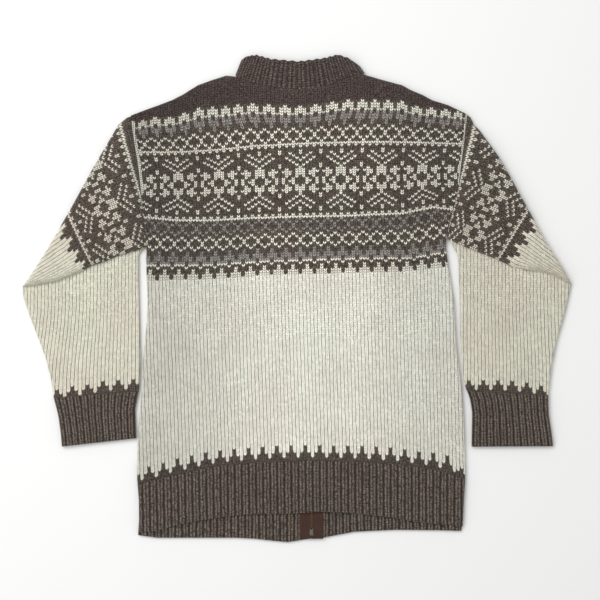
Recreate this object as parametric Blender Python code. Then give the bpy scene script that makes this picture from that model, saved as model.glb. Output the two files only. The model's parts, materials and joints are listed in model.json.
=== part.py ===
"""Knitted zip cardigan lying flat on its front: back panel up, both sleeves folded under
along their outer edges, forearms straight down, the closed zip beneath the back panel.

Lengths are in millimetres until a mesh is made. X runs across, +Y towards the collar and
+Z up from the surface the cardigan lies on. The wearer's left is at -X.
"""
import math

import bmesh
import bpy
import numpy as np
from mathutils import Matrix, Vector

MM = 0.001

# The middle of the whole part lies this far below the tables' zero
TABLE_SHIFT_Y = 1.05

# Cloth: a thick hand-knit wall, and the gap left between pieces at a seam
WALL = 3.6
SEAM_GAP = 0.3
CURVED_SEAM_GAP = 0.9
FOLD_RADIUS = 3.9
SEAM_DIP = 0.8
RIB_RAISE = 0.7

# Levels above the surface: fronts lie on it, the back panel lies on the fronts
FRONT_TOP = WALL
BACK_FLOOR = 4.2
SIDE_SEAM_LEVEL = 3.9
ZIP_LIFT = 1.9
NECK_LIFT = 1.7
SLIDER_LIFT = 1.2
DIMPLE_DEPTH = 0.9

# Sleeve heights: one flattened tube, and two of them where the sleeve is folded under
TUBE_HEIGHT = 7.4
FOLD_HEIGHT = 15.0
ARMHOLE_HEIGHT = 7.8
ARMHOLE_RAMP = 16.0
SLOT_HEIGHT = 0.8
CUFF_DIP = 0.5

# Rings round a sleeve: points over its top and under it, and how its sides are rounded
RING_POINTS = 9
RING_UNDER = 6
ROUND_IN = 0.3
ROUND_UP = 0.71
SEAM_ROUND = 1.4
ARMHOLE_PLACES = (0.0, 0.25, 0.5, 0.68, 0.8, 0.88, 0.93, 0.97, 1.0)

# Rings down the upper arm: share of the way, and how far the ridge has rounded off there
UPPER_ARM_RINGS = (
    (0.0, 0.0),
    (0.07, 0.0),
    (0.18, 0.0),
    (0.32, 0.0),
    (0.46, 0.0),
    (0.6, 0.0),
    (0.74, 0.0),
    (0.87, 0.0),
    (0.955, 0.0),
    (0.985, 1.0),
    (1.0, 3.4),
)
FOREARM_RINGS = (0.012, 0.06, 0.15, 0.3, 0.45, 0.6, 0.75, 0.88, 0.97, 1.0)
HOLLOW_START = 0.15

# Ribbing, in ribs across each piece
HEM_RIBS = 46
CUFF_RIBS = 12
COLLAR_RIBS = 16

# Collar: a doubled rib band
COLLAR_THICK = 4.6
COLLAR_BACK_MID = 7.5
COLLAR_SEAM_GAP = 1.0

# Zip
ZIP_FOOT_X = 23.5
ZIP_HEAD_X = 14.0
TAPE_WIDTH = 19.0
TAPE_THICK = 0.8
CHAIN_WIDTH = 5.6
CHAIN_THICK = 2.2
FRONT_GAP = 5.2
ZIP_FOOT_Y = -390.0
ZIP_HEAD_Y = 312.0
SLIDER_Y = 302.0
SLIDER_SIZE = (9.0, 10.0, 3.4)
SLIDER_LEVEL = 5.5
ARCH_WIDTH = 1.6
ARCH_HOLE = 2.2
ARCH_LEG = 1.3
ARCH_BAR = 0.7
TAB_SIZE = (4.6, 24.0, 1.1)
TAB_LEVEL = 2.35
TAB_WINDOW = 3.2

CUTTERS = "cutters"

# Body outline from the hem rib upwards: height, left edge, right edge
SIDE_OUTLINE = [
    # y, left, right
    (-382.0, -257.6, 265.7),
    (-360.0, -256.0, 268.9),
    (-328.0, -256.4, 270.5),
    (-296.0, -259.0, 272.6),
    (-247.0, -258.6, 272.2),
    (-198.0, -256.0, 270.5),
    (-166.0, -252.9, 268.7),
    (-133.0, -251.0, 265.2),
    (-101.0, -249.2, 261.0),
    (-69.0, -246.2, 257.8),
    (-36.0, -243.2, 256.0),
    (-4.0, -242.4, 254.0),
    (28.0, -243.6, 249.2),
    (60.0, -244.4, 244.0),
    (84.0, -243.9, 241.0),
    (98.0, -245.2, 242.0),
    (116.0, -247.0, 245.6),
    (138.0, -249.2, 251.6),
    (160.0, -251.3, 257.6),
    (180.0, -253.3, 262.0),
    (226.0, -259.4, 267.6),
    (262.0, -265.2, 272.0),
    (296.0, -269.7, 275.4),
]

# Back panel's upper edge: left shoulder, neck, right shoulder
BACK_TOP = [
    # x, y
    (-269.7, 294.8),
    (-246.2, 303.8),
    (-223.6, 311.9),
    (-202.5, 320.0),
    (-186.3, 328.1),
    (-173.3, 336.2),
    (-160.4, 344.2),
    (-137.7, 352.4),
    (-115.0, 359.6),
    (-96.6, 357.9),
    (-79.4, 350.1),
    (-50.2, 342.6),
    (-8.1, 337.3),
    (14.6, 337.0),
    (38.4, 340.2),
    (69.7, 351.7),
    (90.0, 360.0),
    (104.0, 362.8),
    (139.3, 352.4),
    (170.1, 344.2),
    (184.7, 336.2),
    (204.1, 328.1),
    (218.7, 320.0),
    (244.6, 311.9),
    (275.4, 297.3),
]

# Front neckline, which the shoulders above join at its two ends
FRONT_NECK = [
    # x, y
    (-96.6, 357.9),
    (-82.0, 325.0),
    (-58.0, 296.0),
    (-25.0, 278.0),
    (14.0, 272.0),
    (50.0, 279.0),
    (76.0, 298.0),
    (94.0, 328.0),
    (104.0, 362.8),
]

# Rib seams and lower edges of the hems, by place across
BACK_HEM_SEAM = [
    # x, y
    (-260.0, -282.0),
    (-200.0, -276.0),
    (-120.0, -264.0),
    (0.0, -259.0),
    (120.0, -261.0),
    (210.0, -270.0),
    (274.0, -284.0),
]
BACK_HEM_EDGE = [
    # x, y
    (-257.6, -380.5),
    (-225.2, -378.3),
    (-194.4, -368.6),
    (-158.8, -362.1),
    (-100.4, -352.9),
    (-59.9, -350.7),
    (-8.1, -349.9),
    (37.3, -346.8),
    (87.5, -349.1),
    (160.4, -357.2),
    (191.2, -363.7),
    (231.7, -367.6),
    (268.9, -370.0),
]
FRONT_HEM_SEAM = [
    # x, y
    (-260.0, -283.0),
    (-200.0, -291.0),
    (-100.0, -301.0),
    (20.0, -304.0),
    (120.0, -298.0),
    (210.0, -289.0),
    (274.0, -285.0),
]
FRONT_HEM_EDGE = [
    # x, y
    (-257.6, -385.4),
    (-226.8, -389.6),
    (-100.4, -389.6),
    (-69.7, -391.2),
    (-38.9, -394.5),
    (-14.6, -396.7),
    (10.9, -392.7),
    (23.5, -391.9),
    (42.1, -389.6),
    (66.4, -384.8),
    (92.3, -379.9),
    (160.4, -376.7),
    (231.7, -377.5),
    (268.9, -378.3),
]

# Sleeve folds, for each arm. The crease runs from the shoulder to the elbow, the armhole
# from the shoulder to the underarm, and the forearm's two edges from the elbow to the cuff.
SLEEVES = {
    "left": {
        # x, y down the crease
        "crease": [
            (-276.5, 290.8),
            (-290.0, 279.5),
            (-296.0, 268.6),
            (-332.1, 206.6),
            (-367.7, 141.8),
            (-405.0, 77.0),
            (-431.0, 36.5),
            (-444.4, 17.0),
        ],
        "underarm": (-244.4, 82.0),
        "ridge_sag": 9.0,
        # x, y down the forearm's outer edge
        "outer": [
            (-444.4, 17.0),
            (-443.9, 7.3),
            (-442.3, -4.1),
            (-430.9, -36.5),
            (-418.0, -68.9),
            (-406.6, -101.2),
            (-398.5, -133.7),
            (-395.0, -157.0),
        ],
        # x, y down the forearm's inner edge
        "inner": [
            (-246.5, 79.0),
            (-256.6, 71.0),
            (-256.4, 30.0),
            (-255.6, -4.0),
            (-254.6, -50.0),
            (-253.4, -101.0),
            (-254.6, -136.0),
            (-256.4, -153.0),
        ],
        # share of the way down the cuff, outer x, inner x
        "cuff": [
            (0.0, -394.6, -256.6),
            (0.16, -391.2, -259.4),
            (0.4, -386.6, -262.4),
            (0.75, -383.0, -261.4),
            (1.0, -381.4, -260.4),
        ],
        # y of the cuff's two lower corners, outer and inner
        "cuff_foot": (-241.6, -228.0),
    },
    "right": {
        # x, y down the crease
        "crease": [
            (281.4, 291.4),
            (286.7, 281.0),
            (295.5, 271.4),
            (330.5, 222.8),
            (366.1, 158.0),
            (401.8, 93.2),
            (432.5, 44.6),
            (444.4, 21.0),
        ],
        "underarm": (243.6, 94.0),
        "ridge_sag": 13.0,
        # x, y down the forearm's outer edge
        "outer": [
            (444.4, 21.0),
            (442.5, 12.2),
            (439.0, -4.1),
            (430.9, -36.5),
            (421.2, -68.9),
            (414.7, -101.2),
            (409.9, -133.7),
            (408.0, -154.0),
        ],
        # x, y down the forearm's inner edge
        "inner": [
            (251.5, 92.0),
            (260.8, 69.0),
            (262.6, 30.0),
            (264.0, -4.0),
            (264.4, -60.0),
            (267.0, -101.0),
            (270.6, -136.0),
            (275.0, -151.0),
        ],
        # share of the way down the cuff, outer x, inner x
        "cuff": [
            (0.0, 407.8, 275.6),
            (0.16, 407.4, 281.0),
            (0.4, 408.4, 284.0),
            (0.75, 413.0, 283.2),
            (1.0, 415.4, 283.0),
        ],
        # y of the cuff's two lower corners, outer and inner
        "cuff_foot": (-241.0, -241.8),
    },
}

# Collar, round from one front end to the other by way of the back: the seam point, the
# top point, and how far the band has turned over (0 beneath, 1 above)
COLLAR_PATH = [
    # place, seam x, seam y, top x, top y, turn
    (0.00, 8.8, 272.6, 8.4, 317.0, 0.0),
    (0.07, -26.0, 280.6, -18.0, 321.0, 0.0),
    (0.13, -56.6, 299.4, -44.0, 333.0, 0.0),
    (0.19, -79.6, 327.0, -70.0, 353.0, 0.0),
    (0.235, -89.8, 349.0, -82.0, 373.0, 0.0),
    (0.265, -94.6, 361.0, -84.8, 386.4, 0.5),
    (0.295, -93.0, 356.6, -78.0, 391.4, 1.0),
    (0.34, -79.4, 350.8, -65.4, 392.6, 1.0),
    (0.41, -50.2, 343.2, -42.0, 386.2, 1.0),
    (0.50, 3.3, 337.8, 3.3, 382.2, 1.0),
    (0.59, 53.5, 345.6, 44.0, 387.6, 1.0),
    (0.66, 80.0, 356.8, 66.4, 393.4, 1.0),
    (0.705, 98.0, 362.0, 82.6, 388.0, 1.0),
    (0.735, 105.2, 362.4, 97.0, 375.0, 0.5),
    (0.765, 99.6, 354.0, 92.0, 366.0, 0.0),
    (0.81, 90.8, 331.0, 80.0, 350.0, 0.0),
    (0.87, 73.8, 301.6, 62.0, 332.0, 0.0),
    (0.93, 48.4, 282.4, 44.0, 321.0, 0.0),
    (1.00, 19.8, 273.0, 19.4, 317.0, 0.0),
]

# Garment colours: name, red, green, blue
COLOURS = [
    ("cream_wool", 0.62, 0.58, 0.50),
    ("brown_wool", 0.085, 0.066, 0.058),
    ("brown_tape", 0.075, 0.032, 0.022),
    ("grey_metal", 0.42, 0.40, 0.37),
    ("clear_plastic", 0.55, 0.54, 0.52),
]


def read(table, place, column=1):
    """A value from a table, by straight lines between its rows."""
    places = [row[0] for row in table]
    values = [row[column] for row in table]
    return float(np.interp(place, places, values))


def read_down(table, place, column):
    """The same for a table whose first column runs upwards in y."""
    rows = sorted(table)
    return read(rows, place, column)


def smooth(low, high, value):
    """0 below low, 1 above high, and an even slope's S between them."""
    part = min(max((value - low) / (high - low), 0.0), 1.0)
    return part * part * (3.0 - 2.0 * part)


def along(points, share):
    """The point at a share of a polyline's length."""
    steps = [math.dist(a, b) for a, b in zip(points, points[1:])]
    goal = share * sum(steps)
    for start, end, step in zip(points, points[1:], steps):
        if goal <= step:
            part = goal / step
            return (start[0] + part * (end[0] - start[0]), start[1] + part * (end[1] - start[1]))
        goal -= step
    return points[-1]


def spaced(count, edges):
    """Places from 0 to 1, even inside, with extra ones close to both ends."""
    inner = np.linspace(edges[-1], 1.0 - edges[-1], count)
    ends = [0.0] + list(edges[:-1])
    return ends + list(inner) + [1.0 - e for e in reversed(ends)]


def clear_scene():
    """Start from an empty scene."""
    for item in list(bpy.data.objects):
        bpy.data.objects.remove(item, do_unlink=True)


def make_collection(name):
    """A collection of the object's own."""
    group = bpy.data.collections.new(name)
    bpy.context.scene.collection.children.link(group)
    return group


def make_material(name, colour, roughness, metallic=0.0):
    """A plain surface in one colour."""
    material = bpy.data.materials.new(name)
    material.use_nodes = True
    shader = material.node_tree.nodes["Principled BSDF"]
    shader.inputs["Base Color"].default_value = (*colour, 1.0)
    shader.inputs["Roughness"].default_value = roughness
    shader.inputs["Metallic"].default_value = metallic
    return material


def add_object(name, mesh, group, material):
    """Put a mesh in the collection with its material."""
    item = bpy.data.objects.new(name, mesh)
    if material:
        mesh.materials.append(material)
    group.objects.link(item)
    return item


def finish_mesh(name, bm):
    """Close up a hand-made body: joined points, faces out."""
    bmesh.ops.remove_doubles(bm, verts=bm.verts, dist=0.00001)
    bmesh.ops.recalc_face_normals(bm, faces=bm.faces)
    mesh = bpy.data.meshes.new(name)
    bm.to_mesh(mesh)
    bm.free()
    mesh.shade_smooth()
    return mesh


def loft(name, rings, close_ends=True):
    """A body through rings of points, each ring closed on itself."""
    bm = bmesh.new()
    made = [[bm.verts.new(Vector(p) * MM) for p in ring] for ring in rings]
    size = len(rings[0])
    for one, two in zip(made, made[1:]):
        for i in range(size):
            j = (i + 1) % size
            bm.faces.new((one[i], one[j], two[j], two[i]))
    if close_ends:
        bm.faces.new(made[0])
        bm.faces.new(made[-1])
    else:
        for i in range(size):
            j = (i + 1) % size
            bm.faces.new((made[0][i], made[0][j], made[-1][j], made[-1][i]))
    return finish_mesh(name, bm)


def panel_mesh(name, upper, lower):
    """A cloth wall between two grids of points of the same size, closed round its rim."""
    bm = bmesh.new()
    top = [[bm.verts.new(Vector(p) * MM) for p in row] for row in upper]
    under = [[bm.verts.new(Vector(p) * MM) for p in row] for row in lower]
    rows = len(top)
    columns = len(top[0])
    for i in range(rows - 1):
        for j in range(columns - 1):
            bm.faces.new((top[i][j], top[i][j + 1], top[i + 1][j + 1], top[i + 1][j]))
            bm.faces.new((under[i][j], under[i + 1][j], under[i + 1][j + 1], under[i][j + 1]))
    rim = [(0, j) for j in range(columns)]
    rim += [(i, columns - 1) for i in range(1, rows)]
    rim += [(rows - 1, j) for j in range(columns - 2, -1, -1)]
    rim += [(i, 0) for i in range(rows - 2, 0, -1)]
    for (a, b), (c, d) in zip(rim, rim[1:] + rim[:1]):
        bm.faces.new((top[a][b], under[a][b], under[c][d], top[c][d]))
    return finish_mesh(name, bm)


def round_drop(distance, radius, depth):
    """How far a rounded edge lies below its crown, at a distance in from the edge."""
    part = min(max(1.0 - distance / radius, 0.0), 1.0)
    return depth * (1.0 - math.sqrt(1.0 - part * part))


def zip_x(y):
    """The zip's centre line, which leans a little."""
    part = (y - ZIP_FOOT_Y) / (ZIP_HEAD_Y - ZIP_FOOT_Y)
    return ZIP_FOOT_X + part * (ZIP_HEAD_X - ZIP_FOOT_X)


def back_floor(x, y):
    """The level of the back panel's underside: over the fronts, the zip and the collar."""
    off_zip = abs(x - zip_x(y))
    level = BACK_FLOOR + ZIP_LIFT * (1.0 - smooth(14.0, 60.0, off_zip))
    over_collar = smooth(235.0, 268.0, y) * (1.0 - smooth(105.0, 150.0, abs(x - 4.0)))
    level += NECK_LIFT * over_collar
    by_slider = math.hypot(x - ZIP_HEAD_X, 0.7 * (y - SLIDER_Y))
    level += SLIDER_LIFT * (1.0 - smooth(12.0, 45.0, by_slider)) * over_collar
    return level


def back_swell(x, y):
    """Slow waves in the back panel, with one soft hollow left of the middle."""
    wave = 0.5 + 0.5 * math.sin(x / 61.0 + 0.8 * math.sin(y / 95.0))
    wave *= 0.5 + 0.5 * math.sin(y / 74.0 + 1.3)
    hollow = math.exp(-((x + 173.0) / 34.0) ** 2 - ((y + 109.0) / 46.0) ** 2)
    return 1.3 * wave - DIMPLE_DEPTH * hollow


def panel_place(u, v, low, high):
    """A panel's plan point: u from the left edge to the right, v from low to high curve."""
    left_foot = SIDE_OUTLINE[0][1]
    right_foot = SIDE_OUTLINE[0][2]
    x = left_foot + u * (right_foot - left_foot)
    for _ in range(4):
        y = read(low, x) + v * (read(high, x) - read(low, x))
        left = read_down(SIDE_OUTLINE, y, 1)
        right = read_down(SIDE_OUTLINE, y, 2)
        x = left + u * (right - left)
    return (x, y)


def edge_distance(x, y):
    """How far a body point lies in from the left or right outline."""
    left = read_down(SIDE_OUTLINE, y, 1)
    right = read_down(SIDE_OUTLINE, y, 2)
    return min(x - left, right - x)


def back_levels(x, y, top_gap):
    """Upper and lower level of the back wall, rounded down at its sides and shoulders."""
    side = edge_distance(x, y)
    by_seam = smooth(96.0, 130.0, y)
    floor = back_floor(x, y) + max(back_swell(x, y), 0.0) * smooth(4.0, 40.0, min(side, top_gap))
    top = floor + WALL
    reach = top - SIDE_SEAM_LEVEL - SEAM_GAP
    top -= round_drop(side, FOLD_RADIUS, reach) * (1.0 - by_seam)
    top -= round_drop(side, 2.0, SEAM_DIP) * by_seam
    in_shoulder = smooth(80.0, 108.0, abs(x - 4.0))
    top -= round_drop(top_gap, FOLD_RADIUS, reach) * in_shoulder
    top -= round_drop(top_gap, 2.0, SEAM_DIP) * (1.0 - in_shoulder)
    return (max(top, SIDE_SEAM_LEVEL + SEAM_GAP + 0.5), floor)


def build_back(group, material):
    """The back panel, from the hem rib's seam to the shoulders and neck."""
    width = [0.0018, 0.0075]
    upper = []
    lower = []
    for v in spaced(22, [0.0016, 0.0062]):
        top_row = []
        low_row = []
        for u in spaced(22, width):
            x, y = panel_place(u, v, BACK_HEM_SEAM, BACK_TOP)
            y += CURVED_SEAM_GAP / 2.0 * (1.0 - v)
            top_gap = read(BACK_TOP, x) - y
            top, floor = back_levels(x, y, top_gap)
            top -= round_drop(y - read(BACK_HEM_SEAM, x), 2.0, SEAM_DIP)
            top_row.append((x, y, top))
            low_row.append((x, y, floor if edge_distance(x, y) > WALL else SIDE_SEAM_LEVEL + SEAM_GAP))
        upper.append(top_row)
        lower.append(low_row)
    add_object("back_panel", panel_mesh("back_panel", upper, lower), group, material)


def front_span(side, y):
    """Outer and inner edge of one front at a height."""
    if side == "left":
        return (read_down(SIDE_OUTLINE, y, 1), zip_x(y) - FRONT_GAP)
    return (read_down(SIDE_OUTLINE, y, 2), zip_x(y) + FRONT_GAP)


def front_top(side, x):
    """The upper outline of a front: shoulder, then neckline."""
    if FRONT_NECK[0][0] < x < FRONT_NECK[-1][0]:
        return read(FRONT_NECK, x) - CURVED_SEAM_GAP
    return read(BACK_TOP, x)


def build_front(side, group, material):
    """One front, face down on the surface, from the hem rib to the shoulder and neckline."""
    upper = []
    lower = []
    for v in spaced(18, [0.0016, 0.0062]):
        top_row = []
        low_row = []
        for u in spaced(15, [0.0036, 0.015]):
            x, y = 0.0, 0.0
            for _ in range(6):
                outer, inner = front_span(side, y)
                x = outer + u * (inner - outer)
                foot = read(FRONT_HEM_SEAM, x) + SEAM_GAP / 2.0
                y = foot + v * (front_top(side, x) - foot)
            outer, inner = front_span(side, y)
            from_side = abs(x - outer)
            from_top = front_top(side, x) - y
            lift = round_drop(from_side, FOLD_RADIUS, SIDE_SEAM_LEVEL - 0.6)
            lift = max(lift, round_drop(from_top, 1.6, 1.0))
            lift = max(lift, round_drop(abs(x - inner), 1.6, 1.0))
            top_row.append((x, y, FRONT_TOP))
            low_row.append((x, y, min(lift, FRONT_TOP - 0.6)))
        upper.append(top_row)
        lower.append(low_row)
    name = "front_" + side + "_panel"
    add_object(name, panel_mesh(name, upper, lower), group, material)


def rib_level(step):
    """Raised on every second point, plain between."""
    return RIB_RAISE if step % 2 else 0.0


def build_back_hem(group, material):
    """The back's ribbed hem."""
    steps = HEM_RIBS * 2
    upper = []
    lower = []
    for v in (0.0, 0.03, 0.5, 0.96, 1.0):
        top_row = []
        low_row = []
        for k in range(steps + 1):
            u = k / steps
            x, y = panel_place(u, v, BACK_HEM_SEAM, BACK_HEM_EDGE)
            y -= CURVED_SEAM_GAP / 2.0 * (1.0 - v)
            side = edge_distance(x, y)
            floor = back_floor(x, y) + 0.4 * back_swell(x, y) * smooth(4.0, 40.0, side)
            floor = max(floor, BACK_FLOOR)
            top = floor + WALL + rib_level(k)
            reach = top - SIDE_SEAM_LEVEL - SEAM_GAP - 0.5
            top -= round_drop(side, FOLD_RADIUS, reach)
            top -= SEAM_DIP * (1.0 if v == 0.0 else 0.0)
            top -= 1.3 * (1.0 if v == 1.0 else 0.0)
            top_row.append((x, y, max(top, SIDE_SEAM_LEVEL + SEAM_GAP + 0.5)))
            low_row.append((x, y, floor if side > WALL else SIDE_SEAM_LEVEL + SEAM_GAP))
        upper.append(top_row)
        lower.append(low_row)
    add_object("hem_rib_back", panel_mesh("hem_rib_back", upper, lower), group, material)


def build_front_hem(side, group, material):
    """One front's ribbed hem, its ribs up on the inside that shows below the back's hem."""
    steps = HEM_RIBS
    upper = []
    lower = []
    for v in (0.0, 0.5, 0.96, 1.0):
        top_row = []
        low_row = []
        for k in range(steps + 1):
            u = k / steps
            x, y = 0.0, -330.0
            for _ in range(6):
                outer, inner = front_span(side, y)
                x = outer + u * (inner - outer)
                seam = read(FRONT_HEM_SEAM, x) - SEAM_GAP / 2.0
                y = seam + v * (read(FRONT_HEM_EDGE, x) - seam)
            outer, inner = front_span(side, y)
            shows = smooth(-3.0, 6.0, read(BACK_HEM_EDGE, x) - y)
            by_zip = smooth(TAPE_WIDTH - 2.0, TAPE_WIDTH + 6.0, abs(x - zip_x(y)))
            top = FRONT_TOP - 0.4 + rib_level(k) * shows * by_zip
            lift = round_drop(abs(x - outer), FOLD_RADIUS, SIDE_SEAM_LEVEL - 1.0)
            lift = max(lift, 1.1 if v == 1.0 else 0.0)
            top_row.append((x, y, top - (0.8 if v == 1.0 else 0.0)))
            low_row.append((x, y, min(lift, FRONT_TOP - 1.6)))
        upper.append(top_row)
        lower.append(low_row)
    name = "hem_rib_front_" + side
    add_object(name, panel_mesh(name, upper, lower), group, material)


def tube_ring(outer, inner, height, edge, slope=None, points=RING_POINTS, ribbed=False):
    """A ring round a flattened sleeve, between two plan points.

    height is the level of its upper face and edge the radius of its rounded sides. slope
    gives the upper level instead, by the distance from the armhole, and makes the ring's
    inner side a flat seam face.
    """
    length = math.dist(outer, inner)
    across = ((inner[0] - outer[0]) / length, (inner[1] - outer[1]) / length)
    edge = min(edge, 0.35 * length)
    inner_edge = SEAM_ROUND if slope else edge

    def at(distance, level):
        return (outer[0] + distance * across[0], outer[1] + distance * across[1], level)

    def crown(distance):
        return slope(length - distance) if slope else height

    half = crown(edge) / 2.0
    flat = length - inner_edge - edge
    top_places = np.linspace(0.0, 1.0, points)
    if slope:
        top_places = ARMHOLE_PLACES
    ring = [at(0.0, half), at(ROUND_IN * edge, (1.0 + ROUND_UP) * half)]
    for k, place in enumerate(top_places):
        distance = edge + flat * place
        ring.append(at(distance, crown(distance) + (rib_level(k) if ribbed else 0.0)))
    end = crown(length - inner_edge)
    if slope:
        ring += [at(length, end - 1.0), at(length, end / 2.0), at(length, 1.0)]
    else:
        ring.append(at(length - ROUND_IN * edge, (1.0 + ROUND_UP) * end / 2.0))
        ring.append(at(length, end / 2.0))
        ring.append(at(length - ROUND_IN * edge, (1.0 - ROUND_UP) * end / 2.0))
    for place in np.linspace(1.0, 0.0, RING_UNDER):
        ring.append(at(edge + flat * place, 0.0))
    ring.append(at(ROUND_IN * edge, (1.0 - ROUND_UP) * half))
    return ring


def slot_ring(outer, inner, points=RING_POINTS):
    """The ring of the narrow hollow inside a flattened tube, a wall's thickness in."""
    length = math.dist(outer, inner)
    across = ((inner[0] - outer[0]) / length, (inner[1] - outer[1]) / length)
    middle = TUBE_HEIGHT / 2.0
    half = SLOT_HEIGHT / 2.0
    corner = ROUND_UP * half
    near = WALL + 3.0 * SLOT_HEIGHT / 2.0
    far = length - near
    ring = [(WALL, middle), (WALL + half, middle + corner)]
    ring += [(place, middle + half) for place in np.linspace(near, far, points)]
    ring += [(length - WALL - half, middle + corner), (length - WALL, middle)]
    ring += [(length - WALL - half, middle - corner)]
    ring += [(place, middle - half) for place in np.linspace(far, near, RING_UNDER)]
    ring += [(WALL + half, middle - corner)]
    return [(outer[0] + d * across[0], outer[1] + d * across[1], z) for d, z in ring]


def armhole_point(side, share):
    """A point down the armhole seam, a seam's gap clear of the body."""
    column = 1 if side == "left" else 2
    out = -1.0 if side == "left" else 1.0
    top = 293.0 if side == "left" else 295.0
    foot = SLEEVES[side]["underarm"][1]
    y = top + share * (foot - top)
    return (read_down(SIDE_OUTLINE, y, column) + out * CURVED_SEAM_GAP, y)


def sag_ring(ring, depth):
    """Let the middle of a ring hang towards the cuff."""
    start = Vector(ring[0][:2])
    gone = [(Vector(point[:2]) - start).length for point in ring]
    longest = max(gone)
    sagged = []
    for (x, y, z), distance in zip(ring, gone):
        part = distance / longest
        sagged.append((x, y - depth * 4.0 * part * (1.0 - part), z))
    return sagged


def upper_arm_ring(side, share, drop):
    """A ring of the folded upper arm, from its crease to the armhole seam."""
    table = SLEEVES[side]
    rise = (FOLD_HEIGHT - ARMHOLE_HEIGHT) * smooth(-0.02, 0.24, share) - drop

    def slope(distance):
        return ARMHOLE_HEIGHT + rise * smooth(0.0, ARMHOLE_RAMP, distance)

    outer = along(table["crease"], share)
    inner = armhole_point(side, share)
    ring = tube_ring(outer, inner, 0.0, FOLD_HEIGHT / 2.0 - drop, slope=slope)
    return sag_ring(ring, table["ridge_sag"] * share * share)


def build_sleeve(side, group, material):
    """One sleeve: the folded upper arm, its ridge, and the forearm, open towards the cuff."""
    table = SLEEVES[side]
    rings = [upper_arm_ring(side, share, drop) for share, drop in UPPER_ARM_RINGS]
    hollow = []
    for share in FOREARM_RINGS:
        outer = along(table["outer"], share)
        inner = along(table["inner"], share)
        depth = table["ridge_sag"] * (1.0 - smooth(0.0, 0.3, share))
        dip = SEAM_DIP * smooth(0.985, 1.0, share)
        rings.append(sag_ring(tube_ring(outer, inner, TUBE_HEIGHT - dip, TUBE_HEIGHT / 2.0), depth))
        if share >= HOLLOW_START:
            hollow.append(sag_ring(slot_ring(outer, inner), depth))
    name = "sleeve_" + side
    add_object(name, loft(name, rings + hollow[::-1]), group, material)


def build_cuff(side, group, material):
    """One ribbed cuff: a flattened tube, open at both ends, its ribs raised on the upper side."""
    table = SLEEVES[side]
    points = CUFF_RIBS * 2 + 1
    outer_foot, inner_foot = table["cuff_foot"]
    outer_head = table["outer"][-1][1] - SEAM_GAP
    inner_head = table["inner"][-1][1] - SEAM_GAP
    shells = []
    slots = []
    for share in (0.0, 0.03, 0.2, 0.45, 0.75, 0.97, 1.0):
        outer = (read(table["cuff"], share, 1), outer_head + share * (outer_foot - outer_head))
        inner = (read(table["cuff"], share, 2), inner_head + share * (inner_foot - inner_head))
        height = TUBE_HEIGHT - (CUFF_DIP if share in (0.0, 1.0) else 0.0)
        shells.append(tube_ring(outer, inner, height, TUBE_HEIGHT / 2.0, points=points, ribbed=True))
        slots.append(slot_ring(outer, inner, points=points))
    rings = shells + [slots[-1], slots[0]]
    name = "cuff_" + side
    add_object(name, loft(name, rings, close_ends=False), group, material)


def collar_section(place):
    """The seam point, top point and turn of the collar band at a place round the neck."""
    x = read(COLLAR_PATH, place, 1)
    y = read(COLLAR_PATH, place, 2)
    top = (read(COLLAR_PATH, place, 3), read(COLLAR_PATH, place, 4))
    turn = read(COLLAR_PATH, place, 5)
    if turn > 0.0:
        y = max(y, read(BACK_TOP, x) + COLLAR_SEAM_GAP)
    return (x, y), top, turn


def build_collar(group, material):
    """The doubled rib band, open at the zip, folded flat at both sides of the neck."""
    half = COLLAR_THICK / 2.0
    low = half + 0.02
    bend = (COLLAR_BACK_MID - low) / 2.0
    steps = COLLAR_RIBS * 4 + 8
    rings = []
    for k in range(steps + 1):
        place = k / steps
        seam, top, turn = collar_section(place)
        angle = math.pi * turn
        middle = low + bend * (1.0 - math.cos(angle))
        out = -1.0 if place < 0.5 else 1.0
        facing = (out * math.sin(angle), -math.cos(angle))
        shows = smooth(0.2, 0.8, turn)
        raised = rib_level(k) * shows
        scallop = 1.6 * shows * (1.0 if k % 2 else -1.0)
        reach = bend * math.sin(angle) * out
        height = math.dist(seam, top)
        up = ((top[0] - seam[0]) / height, (top[1] - seam[1]) / height)
        ring = []
        outline = [
            # along the height, out of the band
            (0.0, half - 0.7),
            (1.2, half + raised),
            (0.5 * height, half + raised),
            (height - 2.4, half + raised),
            (height - 0.5, 0.55 * half),
            (height, 0.0),
            (height - 0.5, -0.55 * half),
            (height - 2.4, -half),
            (0.5 * height, -half),
            (0.0, -half),
        ]
        for rise, thick in outline:
            rise = rise + scallop * rise / height
            x = seam[0] + rise * up[0] + reach + facing[0] * thick
            y = seam[1] + rise * up[1]
            ring.append((x, y, middle + facing[1] * thick))
        rings.append(ring)
    add_object("collar", loft("collar", rings), group, material)


def zip_lift(y):
    """How far the collar's thickness lifts the zip above the fronts."""
    return (COLLAR_THICK - FRONT_TOP + 0.1) * smooth(250.0, 268.0, y)


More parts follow.
